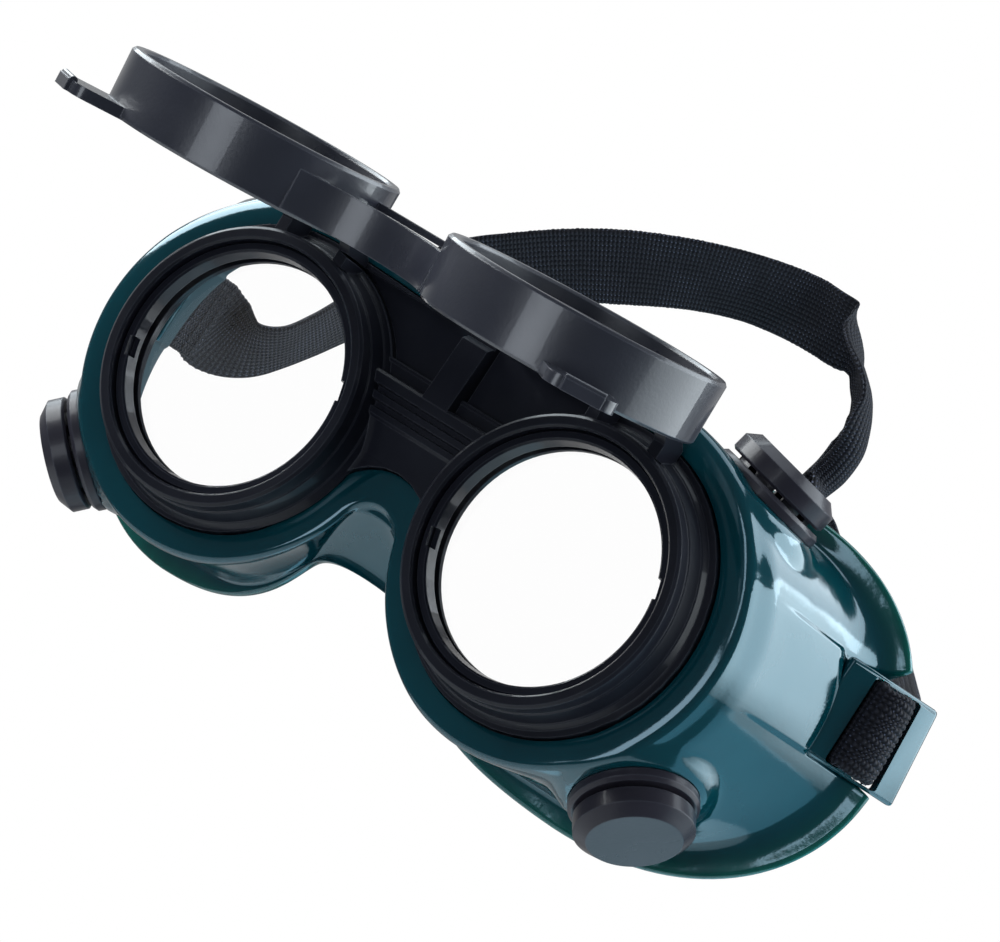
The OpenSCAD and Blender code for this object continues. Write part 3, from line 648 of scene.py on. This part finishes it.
pvc = bpy.data.materials.new("teal_pvc")
pvc.use_nodes = True
net, skin = shader_net(pvc)
place = net.nodes.new("ShaderNodeTexCoord").outputs["Object"]
thin = node(net, "ShaderNodeAttribute", attribute_name="rim").outputs["Fac"]
body_colour = colour_steps(net, noise(net, place, 55, 3), [
    (0.25, (0.0006, 0.034, 0.046)), (0.75, (0.0012, 0.046, 0.060))])
edge_colour = colour_steps(net, noise(net, place, 90, 2), [
    (0.3, (0.003, 0.085, 0.068)), (0.7, (0.006, 0.12, 0.090))])
share = value_range(net, thin, 0.0, 1.0, 0.15, 1.0)
outer_colour = blend_colours(net, share, body_colour, edge_colour)
# Painted shade: the inside of the wall gets a darker teal than the outside, standing in for the shade
# within the cups
inside = node(net, "ShaderNodeAttribute", attribute_name="inner").outputs["Fac"]
net.links.new(blend_colours(net, inside, outer_colour, (0.0003, 0.015, 0.021)), skin.inputs["Base Color"])
haze = value_range(net, noise(net, place, 30, 4, 0.6), 0.06, 0.15, 0.3, 0.75)
dull = net.nodes.new("ShaderNodeMix")
net.links.new(inside, dull.inputs["Factor"])
net.links.new(haze, dull.inputs["A"])
dull.inputs["B"].default_value = 0.8
net.links.new(dull.outputs["Result"], skin.inputs["Roughness"])
waves = bumps(net, noise(net, place, 42, 2), 0.00045)
net.links.new(bumps(net, noise(net, place, 900, 3), 0.000012, waves), skin.inputs["Normal"])
skin.inputs["IOR"].default_value = 1.8
skin.inputs["Specular Tint"].default_value = (0.60, 0.87, 1, 1)
skin.inputs["Coat Weight"].default_value = 0.12
skin.inputs["Coat Roughness"].default_value = 0.05
skin.inputs["Coat IOR"].default_value = 1.5
skin.inputs["Subsurface Weight"].default_value = 0.12
skin.inputs["Subsurface Radius"].default_value = (0.1, 0.6, 0.5)
skin.inputs["Subsurface Scale"].default_value = 0.004
eyecup.data.materials.clear()
eyecup.data.materials.append(pvc)
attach(eyecup, "goggles")
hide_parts("goggle_body")


# Lens frame.
# A stiff, glossy black moulding snapped into the body's lip. It carries the
# two threaded lens rings, the stepped bridge panel and the hinge lugs.
def moulded_black(name, dark, light, rough, gloss, coat, grain_scale, grain_depth, edge_round, edge_glint_colour):
    material = bpy.data.materials.new(name)
    material.use_nodes = True
    net, skin = shader_net(material)
    place = net.nodes.new("ShaderNodeTexCoord").outputs["Object"]
    mottled = colour_steps(net, noise(net, place, 70, 3), [(0.3, dark), (0.7, light)])
    net.links.new(value_range(net, noise(net, place, 45, 4, 0.6), rough[0], rough[1], 0.3, 0.75),
                  skin.inputs["Roughness"])
    soft_edge = node(net, "ShaderNodeBevel", samples=4)
    soft_edge.inputs["Radius"].default_value = edge_round
    true_normal = net.nodes.new("ShaderNodeNewGeometry").outputs["Normal"]
    turn = node(net, "ShaderNodeVectorMath", operation="DOT_PRODUCT")
    net.links.new(soft_edge.outputs["Normal"], turn.inputs[0])
    net.links.new(true_normal, turn.inputs[1])
    # Painted highlight: where the rounded edge bends the normal, the base colour is blended towards a
    # lighter tone that stands in for thin glints along the edges
    on_edge = value_range(net, turn.outputs["Value"], 1.0, 0.0, 0.86, 0.99)
    net.links.new(blend_colours(net, on_edge, mottled, edge_glint_colour), skin.inputs["Base Color"])
    net.links.new(bumps(net, noise(net, place, grain_scale, 3), grain_depth, soft_edge.outputs["Normal"]),
                  skin.inputs["Normal"])
    skin.inputs["IOR"].default_value = 1.52
    skin.inputs["Specular IOR Level"].default_value = gloss
    skin.inputs["Coat Weight"].default_value = coat
    skin.inputs["Coat Roughness"].default_value = 0.06
    return material


def dress(name, material):
    """Gives a solid of the CAD part its finish; its shape stays."""
    for finish in frame["nodes"][name].material_slots:
        finish.material = material


gloss_black = moulded_black("gloss_black", (0.0085, 0.0092, 0.0145), (0.0130, 0.0140, 0.0205),
                            (0.28, 0.40), 0.12, 0.2, 1100, 0.000014, 0.00035, (0.050, 0.054, 0.068))
dress("lens_frame", gloss_black)


# Clear lenses and rings.
# Two flat round safety glasses lie on the ledges of the frame, each held by a
# threaded black ring with two grip notches.
clear_glass = bpy.data.materials.new("clear_glass")
clear_glass.use_nodes = True
net, skin = shader_net(clear_glass)
place = net.nodes.new("ShaderNodeTexCoord").outputs["Object"]
skin.inputs["Base Color"].default_value = (1, 1, 1, 1)
skin.inputs["Transmission Weight"].default_value = 1
skin.inputs["IOR"].default_value = 1.3
net.links.new(value_range(net, noise(net, place, 120, 3), 0.0, 0.006, 0.5, 0.8), skin.inputs["Roughness"])
shadow = net.nodes.new("ShaderNodeLightPath")
clear_way = net.nodes.new("ShaderNodeBsdfTransparent")
clear_way.inputs["Color"].default_value = (0.93, 0.95, 0.95, 1)
either = net.nodes.new("ShaderNodeMixShader")
net.links.new(shadow.outputs["Is Shadow Ray"], either.inputs["Fac"])
net.links.new(skin.outputs[0], either.inputs[1])
net.links.new(clear_way.outputs[0], either.inputs[2])
net.links.new(either.outputs[0], net.nodes["Material Output"].inputs["Surface"])

ring_black = moulded_black("ring_black", (0.0085, 0.0092, 0.0150), (0.0130, 0.0140, 0.0210),
                           (0.28, 0.40), 0.06, 0.25, 1300, 0.000012, 0.00025, (0.060, 0.064, 0.080))
for side in ("right", "left"):
    dress("clear_lens_" + side, clear_glass)
    dress("lens_ring_" + side, ring_black)


# Flip unit.
# A satin black moulding with two deep cups joined by two bars. It swings up
# on the frame's lugs. Each cup holds a dark green filter glass and its ring.
satin_black = moulded_black("satin_black", (0.0220, 0.0235, 0.0340), (0.0290, 0.0305, 0.0430),
                            (0.26, 0.38), 0.55, 0.4, 1500, 0.000022, 0.0004, (0.090, 0.095, 0.120))
dress("flip_frame", satin_black)

shade_glass = bpy.data.materials.new("shade_glass")
shade_glass.use_nodes = True
net, skin = shader_net(shade_glass)
place = net.nodes.new("ShaderNodeTexCoord").outputs["Object"]
net.links.new(colour_steps(net, noise(net, place, 60, 2), [
    (0.3, (0.0010, 0.010, 0.006)), (0.7, (0.0016, 0.015, 0.009))]), skin.inputs["Base Color"])
net.links.new(value_range(net, noise(net, place, 100, 3), 0.02, 0.05, 0.4, 0.8), skin.inputs["Roughness"])
skin.inputs["IOR"].default_value = 1.52
skin.inputs["Coat Weight"].default_value = 0.3
for side in ("right", "left"):
    dress("shade_lens_" + side, shade_glass)
    dress("shade_ring_" + side, satin_black)


# Hinge pins.
# Two plain steel pins, turned and headed at one end, run through the frame's
# lugs and the cups' knuckles.
pin_steel = bpy.data.materials.new("turned_steel")
pin_steel.use_nodes = True
net, skin = shader_net(pin_steel)
place = net.nodes.new("ShaderNodeTexCoord").outputs["Object"]
rings = node(net, "ShaderNodeTexWave", wave_type="BANDS", bands_direction="X")
rings.inputs["Scale"].default_value = 1400
net.links.new(place, rings.inputs["Vector"])
net.links.new(colour_steps(net, noise(net, place, 300, 2), [
    (0.3, (0.42, 0.42, 0.43)), (0.7, (0.56, 0.56, 0.57))]), skin.inputs["Base Color"])
net.links.new(value_range(net, noise(net, place, 500, 3), 0.22, 0.4), skin.inputs["Roughness"])
net.links.new(bumps(net, rings.outputs["Fac"], 0.000008), skin.inputs["Normal"])
skin.inputs["Metallic"].default_value = 1
for side in ("right", "left"):
    dress("hinge_pin_" + side, pin_steel)


# Vents.
# Four round indirect vents in black plastic: a base pressed into the body
# from outside and a cap on its slotted crown, so that no spark flies in.
vent_black = moulded_black("vent_black", (0.0210, 0.0195, 0.0280), (0.0290, 0.0270, 0.0370),
                           (0.24, 0.36), 0.25, 0.08, 1200, 0.000018, 0.0004, (0.070, 0.075, 0.095))
for which in ("upper", "lower"):
    for side in ("right", "left"):
        dress(f"vent_base_{which}_{side}", vent_black)
        dress(f"vent_cap_{which}_{side}", vent_black)


# Strap.
# Knitted elastic, 18 mm wide, black with a blue cast and ribbed lengthwise.
# Each end goes through the slots of a lug, turns back and is sewn down.
strap_w, strap_t = 18.0, 1.4
loop_side = [
    (15.6, 13.6), (13.9, 10.9), (12.2, 8.4), (10.2, 6.5), (7.4, 5.3), (5.5, 4.3), (4.7, 2.9),
    (4.7, 0.9), (5.1, -0.5), (6.4, -1.2), (8.3, -1.35), (10.3, -1.2), (11.8, -0.5), (12.5, 0.9),
    (12.6, 2.6), (13.2, 4.9), (14.2, 7.6), (15.6, 10.4)]
cos_lug, sin_lug = math.cos(math.radians(lug_angle)), math.sin(math.radians(lug_angle))
swell = [0, 0, 0, 0, 0, 0, 0, 0.2, 0.7, 1.3, 1.6, 1.4, 0.9, 0.4, 0.1, 0, 0, 0]
end_loop = [((lug_start[0] + a * cos_lug - b * sin_lug, lug_start[1] + a * sin_lug + b * cos_lug, band_z),
             (-0.065 * (a > 9) * cos_lug, -0.065 * (a > 9) * sin_lug, 1), swollen)
            for (a, b), swollen in zip(loop_side, swell)]
free_run = [
    ((-91.3, 63.8, 7), (0.04, -0.03, 1), 0), ((-89.8, 68.8, 5.6), (0.18, -0.25, 0.93), 0),
    ((-85.5, 73, 6.2), (0.32, -0.64, 0.69), 0), ((-81, 76.5, 10), (0.33, -0.82, 0.46), 0),
    ((-78, 80, 16), (0.27, -0.9, 0.36), 0), ((-75, 83, 23), (0.2, -0.92, 0.34), 0),
    ((-69, 87, 35), (0.07, -0.91, 0.4), 0), ((-62, 91, 45), (-0.05, -0.84, 0.53), 0),
    ((-54, 95.5, 52), (-0.07, -0.75, 0.65), 0), ((-45, 100, 59), (-0.06, -0.69, 0.72), 0),
    ((-36, 105, 65), (0, -0.64, 0.77), 0), ((-26, 112, 71), (0.14, -0.64, 0.76), 0),
    ((-16.5, 119.5, 75.4), (0.24, -0.61, 0.75), 0), ((-8, 126, 77.5), (0.23, -0.59, 0.77), -0.005),
    ((-0.9, 128.6, 78.1), (0.12, -0.65, 0.75), 0.015), ((2.4, 130.1, 78.3), (0.13, -0.68, 0.73), 0.036),
    ((5.1, 130.3, 78), (0.11, -0.85, 0.51), 0.072), ((7.7, 129.5, 76.2), (0.06, -0.93, 0.37), 0.077),
    ((10.3, 128.5, 73.1), (0.13, -0.93, 0.36), 0.056), ((13.2, 128.0, 70.5), (0.27, -0.90, 0.33), 0.045),
    ((15.9, 128.2, 68.0), (0.39, -0.88, 0.28), 0.062), ((17.7, 128.5, 65.6), (0.45, -0.87, 0.19), 0.094),
    ((19.6, 128.8, 61.9), (0.47, -0.88, 0.07), 0.143), ((20.8, 129.5, 57.1), (0.53, -0.85, -0.09), 0.211),
    ((20.1, 130.3, 51.2), (0.50, -0.86, -0.13), 0.243), ((18.7, 129.9, 46.6), (0.52, -0.85, 0.05), 0.202),
    ((18.0, 128.5, 43.0), (0.66, -0.72, 0.19), 0.113), ((18.9, 128.3, 40.5), (0.69, -0.64, 0.35), 0.019),
    ((21.6, 129.3, 37.4), (0.60, -0.62, 0.50), 0), ((25.8, 129.9, 34.0), (0.55, -0.62, 0.57), 0),
    ((34, 128.8, 30), (0.43, -0.62, 0.62), 0), ((45, 122, 25.8), (0.34, -0.52, 0.78), 0),
    ((58, 110.5, 20.5), (0.2, -0.28, 0.94), 0), ((70, 97.5, 15.5), (0.08, -0.12, 0.99), 0),
    ((81, 82, 11.5), (0.02, -0.02, 1), 0), ((89.5, 69, 8.5), (0, 0, 1), 0)]
# Each station: middle of the strap, direction of its width, and two shares:
# lengthwise curl and swelling where the knit is stretched round a bar
stations = np.array(
    [[(-p[0], p[1], p[2]), (-w[0], w[1], w[2]), (0, swollen, 0)] for p, w, swollen in end_loop]
    + [[p, w, (curl, 0, 0)] for p, w, curl in free_run]
    + [[p, w, (0, swollen, 0)] for p, w, swollen in end_loop[::-1]], float)


def through(points, t):
    """A smooth curve through the stations, at a station number t."""
    i = np.clip(np.floor(t).astype(int), 0, len(points) - 2)
    f = (t - i)[:, None, None]
    a, b, c, d = (points[np.clip(i + k, 0, len(points) - 1)] for k in (-1, 0, 1, 2))
    return 0.5 * (2 * b + (c - a) * f + (2 * a - 5 * b + 4 * c - d) * f ** 2
                  + (3 * b - a - 3 * c + d) * f ** 3)


fine_steps = 6000
fine = through(stations, np.linspace(0, len(stations) - 1, fine_steps))
run = np.concatenate([[0], np.cumsum(np.linalg.norm(np.diff(fine[:, 0], axis=0), axis=1))])
strap_steps = 620
length_at = np.linspace(0, run[-1], strap_steps)
at = np.interp(length_at, run, np.linspace(0, len(stations) - 1, fine_steps))
line = through(stations, at)
middle, wide = line[:, 0], line[:, 1]
along = np.gradient(middle, axis=0)
along /= np.linalg.norm(along, axis=1)[:, None]
wide = wide - along * np.sum(wide * along, 1)[:, None]
wide /= np.linalg.norm(wide, axis=1)[:, None]
thick = np.cross(along, wide)
ribs, per_rib = 15, 6
across = np.linspace(-1, 1, ribs * per_rib + 1)
rib = np.abs(np.sin(np.pi * (across + 1) / 2 * ribs)) ** 0.6
edge_thin = np.sqrt(np.clip(1 - np.abs(across) ** 26, 0, 1))
rib_h = 0.13
half = (strap_t / 2 - rib_h - 0.01 + rib_h * rib) * (0.3 + 0.7 * edge_thin)
curl = np.where(np.abs(line[:, 2, 0]) < 1e-4, 1e-4, line[:, 2, 0])[:, None]
swollen = np.clip(line[:, 2, 1], 0, 2)[:, None]


def on_strap(u, lift):
    """Points of each cross section, at a place across it and a height off it."""
    bend = curl * u
    aside = np.sin(bend) / curl - lift * np.sin(bend)
    off = (1 - np.cos(bend)) / curl + lift * np.cos(bend)
    return (middle[:, None] + wide[:, None] * aside[..., None] + thick[:, None] * off[..., None]
            - np.array([0, seal_depth, 0]))


wander = 0.28 * np.sin(length_at[:, None] / 1.15 + across[None, :] * 9) * np.clip(swollen, 0, 1)
pillow = swollen * (np.sqrt(np.clip(1 - across ** 4, 0, 1)) * (0.72 + 0.28 * rib))[None, :]
u_place = np.concatenate([across * strap_w / 2, across[::-1] * strap_w / 2])
heights = np.concatenate([half + 0 * swollen, (-half - pillow)[:, ::-1]], 1)
points = on_strap(u_place[None, :] + np.concatenate([wander, wander[:, ::-1]], 1), heights)
n_run, n_round = points.shape[:2]
corner = np.arange(n_run)[:, None] * n_round + np.arange(n_round)[None, :]
nxt = np.roll(corner, -1, 1)
quads = np.stack([corner[:-1], nxt[:-1], nxt[1:], corner[1:]], 2).reshape(-1, 4).tolist()
quads += [corner[0][::-1].tolist(), corner[-1].tolist()]
band = bpy.data.meshes.new("strap_knit")
band.from_pydata((points.reshape(-1, 3) * mm).tolist(), [], quads)
uv = band.uv_layers.new(name="weave")
loop_vertex = np.zeros(len(band.loops), int)
band.loops.foreach_get("vertex_index", loop_vertex)
uv_values = np.stack([length_at[loop_vertex // n_round] * mm,
                      u_place[loop_vertex % n_round] * mm], 1)
uv.data.foreach_set("uv", uv_values.reshape(-1))
strap = bpy.data.objects.new("strap_knit", band)
bpy.context.scene.collection.objects.link(strap)
bm = bmesh.new()
bm.from_mesh(band)
bmesh.ops.recalc_face_normals(bm, faces=bm.faces)
for f in bm.faces:
    f.smooth = True
bm.to_mesh(band)
bm.free()
knit = bpy.data.materials.new("knit_elastic")
knit.use_nodes = True
net, skin = shader_net(knit)
uv_place = node(net, "ShaderNodeUVMap", uv_map="weave").outputs["UV"]
split = net.nodes.new("ShaderNodeSeparateXYZ")
net.links.new(uv_place, split.inputs[0])
place = net.nodes.new("ShaderNodeTexCoord").outputs["Object"]


def scaled(value, factor, plus=0.0):
    made = node(net, "ShaderNodeMath", operation="MULTIPLY_ADD")
    net.links.new(value, made.inputs[0])
    made.inputs[1].default_value = factor
    made.inputs[2].default_value = plus
    return made.outputs[0]


def wave_of(value, operation="SINE"):
    made = node(net, "ShaderNodeMath", operation=operation)
    net.links.new(value, made.inputs[0])
    return made.outputs[0]


def combined(a, b, operation):
    made = node(net, "ShaderNodeMath", operation=operation)
    net.links.new(a, made.inputs[0])
    net.links.new(b, made.inputs[1])
    return made.outputs[0]


# Lengthwise ribs of chevron loops. In the grooves between them lie rows of
# small pale rubber loops, which show as broken dotted lines
rib_phase = scaled(split.outputs["Y"], ribs / (strap_w * mm) * math.pi, ribs * math.pi / 2)
ridge = wave_of(wave_of(rib_phase), "ABSOLUTE")
loop_pitch = 0.00085
chevron = combined(scaled(split.outputs["X"], 2 * math.pi / loop_pitch), scaled(ridge, 2.2), "ADD")
loops = scaled(wave_of(chevron), 0.5, 0.5)
groove = value_range(net, ridge, 1.0, 0.0, 0.12, 0.42)
dots = combined(groove, value_range(net, loops, 0.0, 1.0, 0.68, 0.95), "MULTIPLY")
patchy = value_range(net, noise(net, place, 120, 3, 0.6), 0.05, 1.0, 0.42, 0.66)
specks = combined(dots, patchy, "MULTIPLY")
fuzz = noise(net, place, 2600, 3)
yarn = combined(combined(loops, ridge, "MULTIPLY"), scaled(fuzz, 0.35), "ADD")
# The ground colour follows the yarn's height: lighter on the crests of the ribs and loops and darker down
# in the grooves, which is painted shade, with random fuzz on top
ground = colour_steps(net, yarn, [
    (0.1, (0.0044, 0.0047, 0.0076)), (0.6, (0.0112, 0.0120, 0.0182)), (1.0, (0.0205, 0.0220, 0.0315))])
net.links.new(blend_colours(net, specks, ground, (0.15, 0.175, 0.26)), skin.inputs["Base Color"])
net.links.new(value_range(net, fuzz, 0.55, 0.75), skin.inputs["Roughness"])
net.links.new(bumps(net, yarn, 0.00020), skin.inputs["Normal"])
skin.inputs["Sheen Weight"].default_value = 0.02
skin.inputs["Sheen Roughness"].default_value = 0.4
skin.inputs["Specular IOR Level"].default_value = 0.18
band.materials.append(knit)
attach(strap, "goggles")
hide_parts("strap")


# Loose loops of yarn along both edges of the strap, and the stitches that
# hold its two folded ends: one thread each, repeated from point to point
def ring_of_thread(name, long, high, thick_by):
    around, sides = 10, 4
    bm = bmesh.new()
    ring = []
    for k in range(around):
        a = 2 * math.pi * k / around
        spot = Vector((long / 2 * math.cos(a), high / 2 * math.sin(a), 0))
        out_way = Vector((math.cos(a), math.sin(a), 0))
        ring.append([bm.verts.new(spot + out_way * (thick_by / 2 * math.cos(2 * math.pi * j / sides))
                                  + Vector((0, 0, thick_by / 2 * math.sin(2 * math.pi * j / sides))))
                     for j in range(sides)])
    for k in range(around):
        for j in range(sides):
            a, b = ring[k], ring[(k + 1) % around]
            bm.faces.new([a[j], b[j], b[(j + 1) % sides], a[(j + 1) % sides]])
    for f in bm.faces:
        f.smooth = True
    bm.transform(Matrix.Scale(mm, 4))
    return from_bmesh(name, bm)


def stitch_of_thread(name, long, thick_by):
    around, rings_along = 6, 5
    bm = bmesh.new()
    ring = []
    for k in range(rings_along):
        t = k / (rings_along - 1) * 2 - 1
        fat = thick_by / 2 * (0.45 + 0.55 * math.sqrt(max(0, 1 - t * t)))
        ring.append([bm.verts.new((t * long / 2, fat * math.cos(2 * math.pi * j / around),
                                   0.12 * (1 - t * t) + fat * math.sin(2 * math.pi * j / around)))
                     for j in range(around)])
    for a, b in zip(ring, ring[1:]):
        for j in range(around):
            bm.faces.new([a[j], b[j], b[(j + 1) % around], a[(j + 1) % around]])
    bm.faces.new(ring[0][::-1])
    bm.faces.new(ring[-1])
    for f in bm.faces:
        f.smooth = True
    bm.transform(Matrix.Scale(mm, 4))
    return from_bmesh(name, bm)


repeat = bpy.data.node_groups.new("thread_repeat", "GeometryNodeTree")
for name, way, kind in (("Points", "INPUT", "NodeSocketGeometry"), ("Thread", "INPUT", "NodeSocketObject"),
                        ("Least", "INPUT", "NodeSocketFloat"), ("Most", "INPUT", "NodeSocketFloat"),
                        ("Seed", "INPUT", "NodeSocketInt"), ("Yarn", "INPUT", "NodeSocketMaterial"),
                        ("Threads", "OUTPUT", "NodeSocketGeometry")):
    repeat.interface.new_socket(name, in_out=way, socket_type=kind)
given, made = repeat.nodes.new("NodeGroupInput"), repeat.nodes.new("NodeGroupOutput")
thread = repeat.nodes.new("GeometryNodeObjectInfo")
turned = repeat.nodes.new("GeometryNodeInputNamedAttribute")
turned.data_type = "FLOAT_VECTOR"
turned.inputs["Name"].default_value = "turn"
as_turn = repeat.nodes.new("FunctionNodeEulerToRotation")
vary = repeat.nodes.new("FunctionNodeRandomValue")
vary.data_type = "FLOAT"
place_all = repeat.nodes.new("GeometryNodeInstanceOnPoints")
real = repeat.nodes.new("GeometryNodeRealizeInstances")
coat_all = repeat.nodes.new("GeometryNodeSetMaterial")
repeat.links.new(given.outputs["Thread"], thread.inputs["Object"])
repeat.links.new(given.outputs["Points"], place_all.inputs["Points"])
repeat.links.new(thread.outputs["Geometry"], place_all.inputs["Instance"])
repeat.links.new(turned.outputs["Attribute"], as_turn.inputs["Euler"])
repeat.links.new(as_turn.outputs["Rotation"], place_all.inputs["Rotation"])
vary_in = [socket for socket in vary.inputs if socket.enabled]
repeat.links.new(given.outputs["Least"], vary_in[0])
repeat.links.new(given.outputs["Most"], vary_in[1])
repeat.links.new(given.outputs["Seed"], vary.inputs["Seed"])
vary_out = [socket for socket in vary.outputs if socket.enabled][0]
repeat.links.new(vary_out, place_all.inputs["Scale"])
repeat.links.new(place_all.outputs["Instances"], real.inputs["Geometry"])
repeat.links.new(real.outputs["Geometry"], coat_all.inputs["Geometry"])
repeat.links.new(given.outputs["Yarn"], coat_all.inputs["Material"])
repeat.links.new(coat_all.outputs["Geometry"], made.inputs["Threads"])

yarn_black = bpy.data.materials.new("yarn_black")
yarn_black.use_nodes = True
net, skin = shader_net(yarn_black)
place = net.nodes.new("ShaderNodeTexCoord").outputs["Object"]
net.links.new(colour_steps(net, noise(net, place, 700, 3), [
    (0.3, (0.010, 0.011, 0.017)), (0.55, (0.030, 0.033, 0.045)), (0.75, (0.11, 0.12, 0.15))]),
    skin.inputs["Base Color"])
net.links.new(value_range(net, noise(net, place, 2400, 2), 0.5, 0.72), skin.inputs["Roughness"])
net.links.new(bumps(net, noise(net, place, 5200, 2), 0.00003), skin.inputs["Normal"])
skin.inputs["Specular IOR Level"].default_value = 0.35


def threads_at(name, spots, long_ways, out_ways, thread_piece, least, most, seed):
    """Repeats one thread at points (mm), turned to a long way and an out way."""
    cloud = bpy.data.meshes.new(name)
    cloud.from_pydata((spots * mm).tolist(), [], [])
    turns_at = []
    for a, c in zip(long_ways, out_ways):
        a = Vector(a).normalized()
        c = (Vector(c) - a * a.dot(Vector(c))).normalized()
        b = c.cross(a)
        turns_at.append(tuple(Matrix(((a.x, b.x, c.x), (a.y, b.y, c.y), (a.z, b.z, c.z))).to_euler()))
    cloud.attributes.new("turn", "FLOAT_VECTOR", "POINT").data.foreach_set(
        "vector", np.array(turns_at, np.float32).reshape(-1))
    piece = bpy.data.objects.new(name, cloud)
    bpy.context.scene.collection.objects.link(piece)
    step = piece.modifiers.new("repeat", "NODES")
    step.node_group = repeat
    socket = {item.name: item.identifier for item in repeat.interface.items_tree}
    for key, value in (("Thread", thread_piece), ("Least", least), ("Most", most), ("Seed", seed),
                       ("Yarn", yarn_black)):
        step[socket[key]] = value
    bake(piece)
    bpy.data.objects.remove(thread_piece, do_unlink=True)
    if "turn" in piece.data.attributes:
        piece.data.attributes.remove(piece.data.attributes["turn"])
    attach(piece, "goggles")


edge_pitch, edge_in = 0.95, 0.22
loop_at = np.linspace(0.5, run[-1] - 0.5, int(run[-1] / edge_pitch))
spots, long_ways, out_ways = [], [], []
for u in (-strap_w / 2 + edge_in, strap_w / 2 - edge_in):
    edge_line = on_strap(np.full((strap_steps, 1), u), np.zeros((strap_steps, 1)))[:, 0]
    spot = np.stack([np.interp(loop_at, length_at, edge_line[:, k]) for k in range(3)], 1)
    way = np.stack([np.interp(loop_at, length_at, np.gradient(edge_line[:, k])) for k in range(3)], 1)
    face_way = np.stack([np.interp(loop_at, length_at, thick[:, k]) for k in range(3)], 1)
    spots.append(spot)
    long_ways.append(way)
    out_ways.append(face_way)
threads_at("strap_edge_loops", np.concatenate(spots), np.concatenate(long_ways), np.concatenate(out_ways),
           ring_of_thread("edge_loop", 0.95, 0.62, 0.26), 0.85, 1.12, 5)
seam_rows = (1.2, 4.0, 6.8)
seam_half_w, stitch_count = 7.4, 10
face_off = -(strap_t / 2 + 0.02)
spots, long_ways, out_ways = [], [], []
for start, sense in ((0, 1), (run[-1], -1)):
    for row in seam_rows:
        k = int(round((start + sense * row) / run[-1] * (strap_steps - 1)))
        for j in range(stitch_count):
            u = seam_half_w * (2 * j / (stitch_count - 1) - 1)
            cut = on_strap(np.full((strap_steps, 1), u), np.full((strap_steps, 1), face_off))[k, 0]
            spots.append(cut)
            long_ways.append(wide[k])
            out_ways.append(-thick[k])
threads_at("strap_stitches", np.array(spots), np.array(long_ways), np.array(out_ways),
           stitch_of_thread("stitch", 1.25, 0.34), 0.92, 1.06, 8)

bpy.context.view_layer.update()
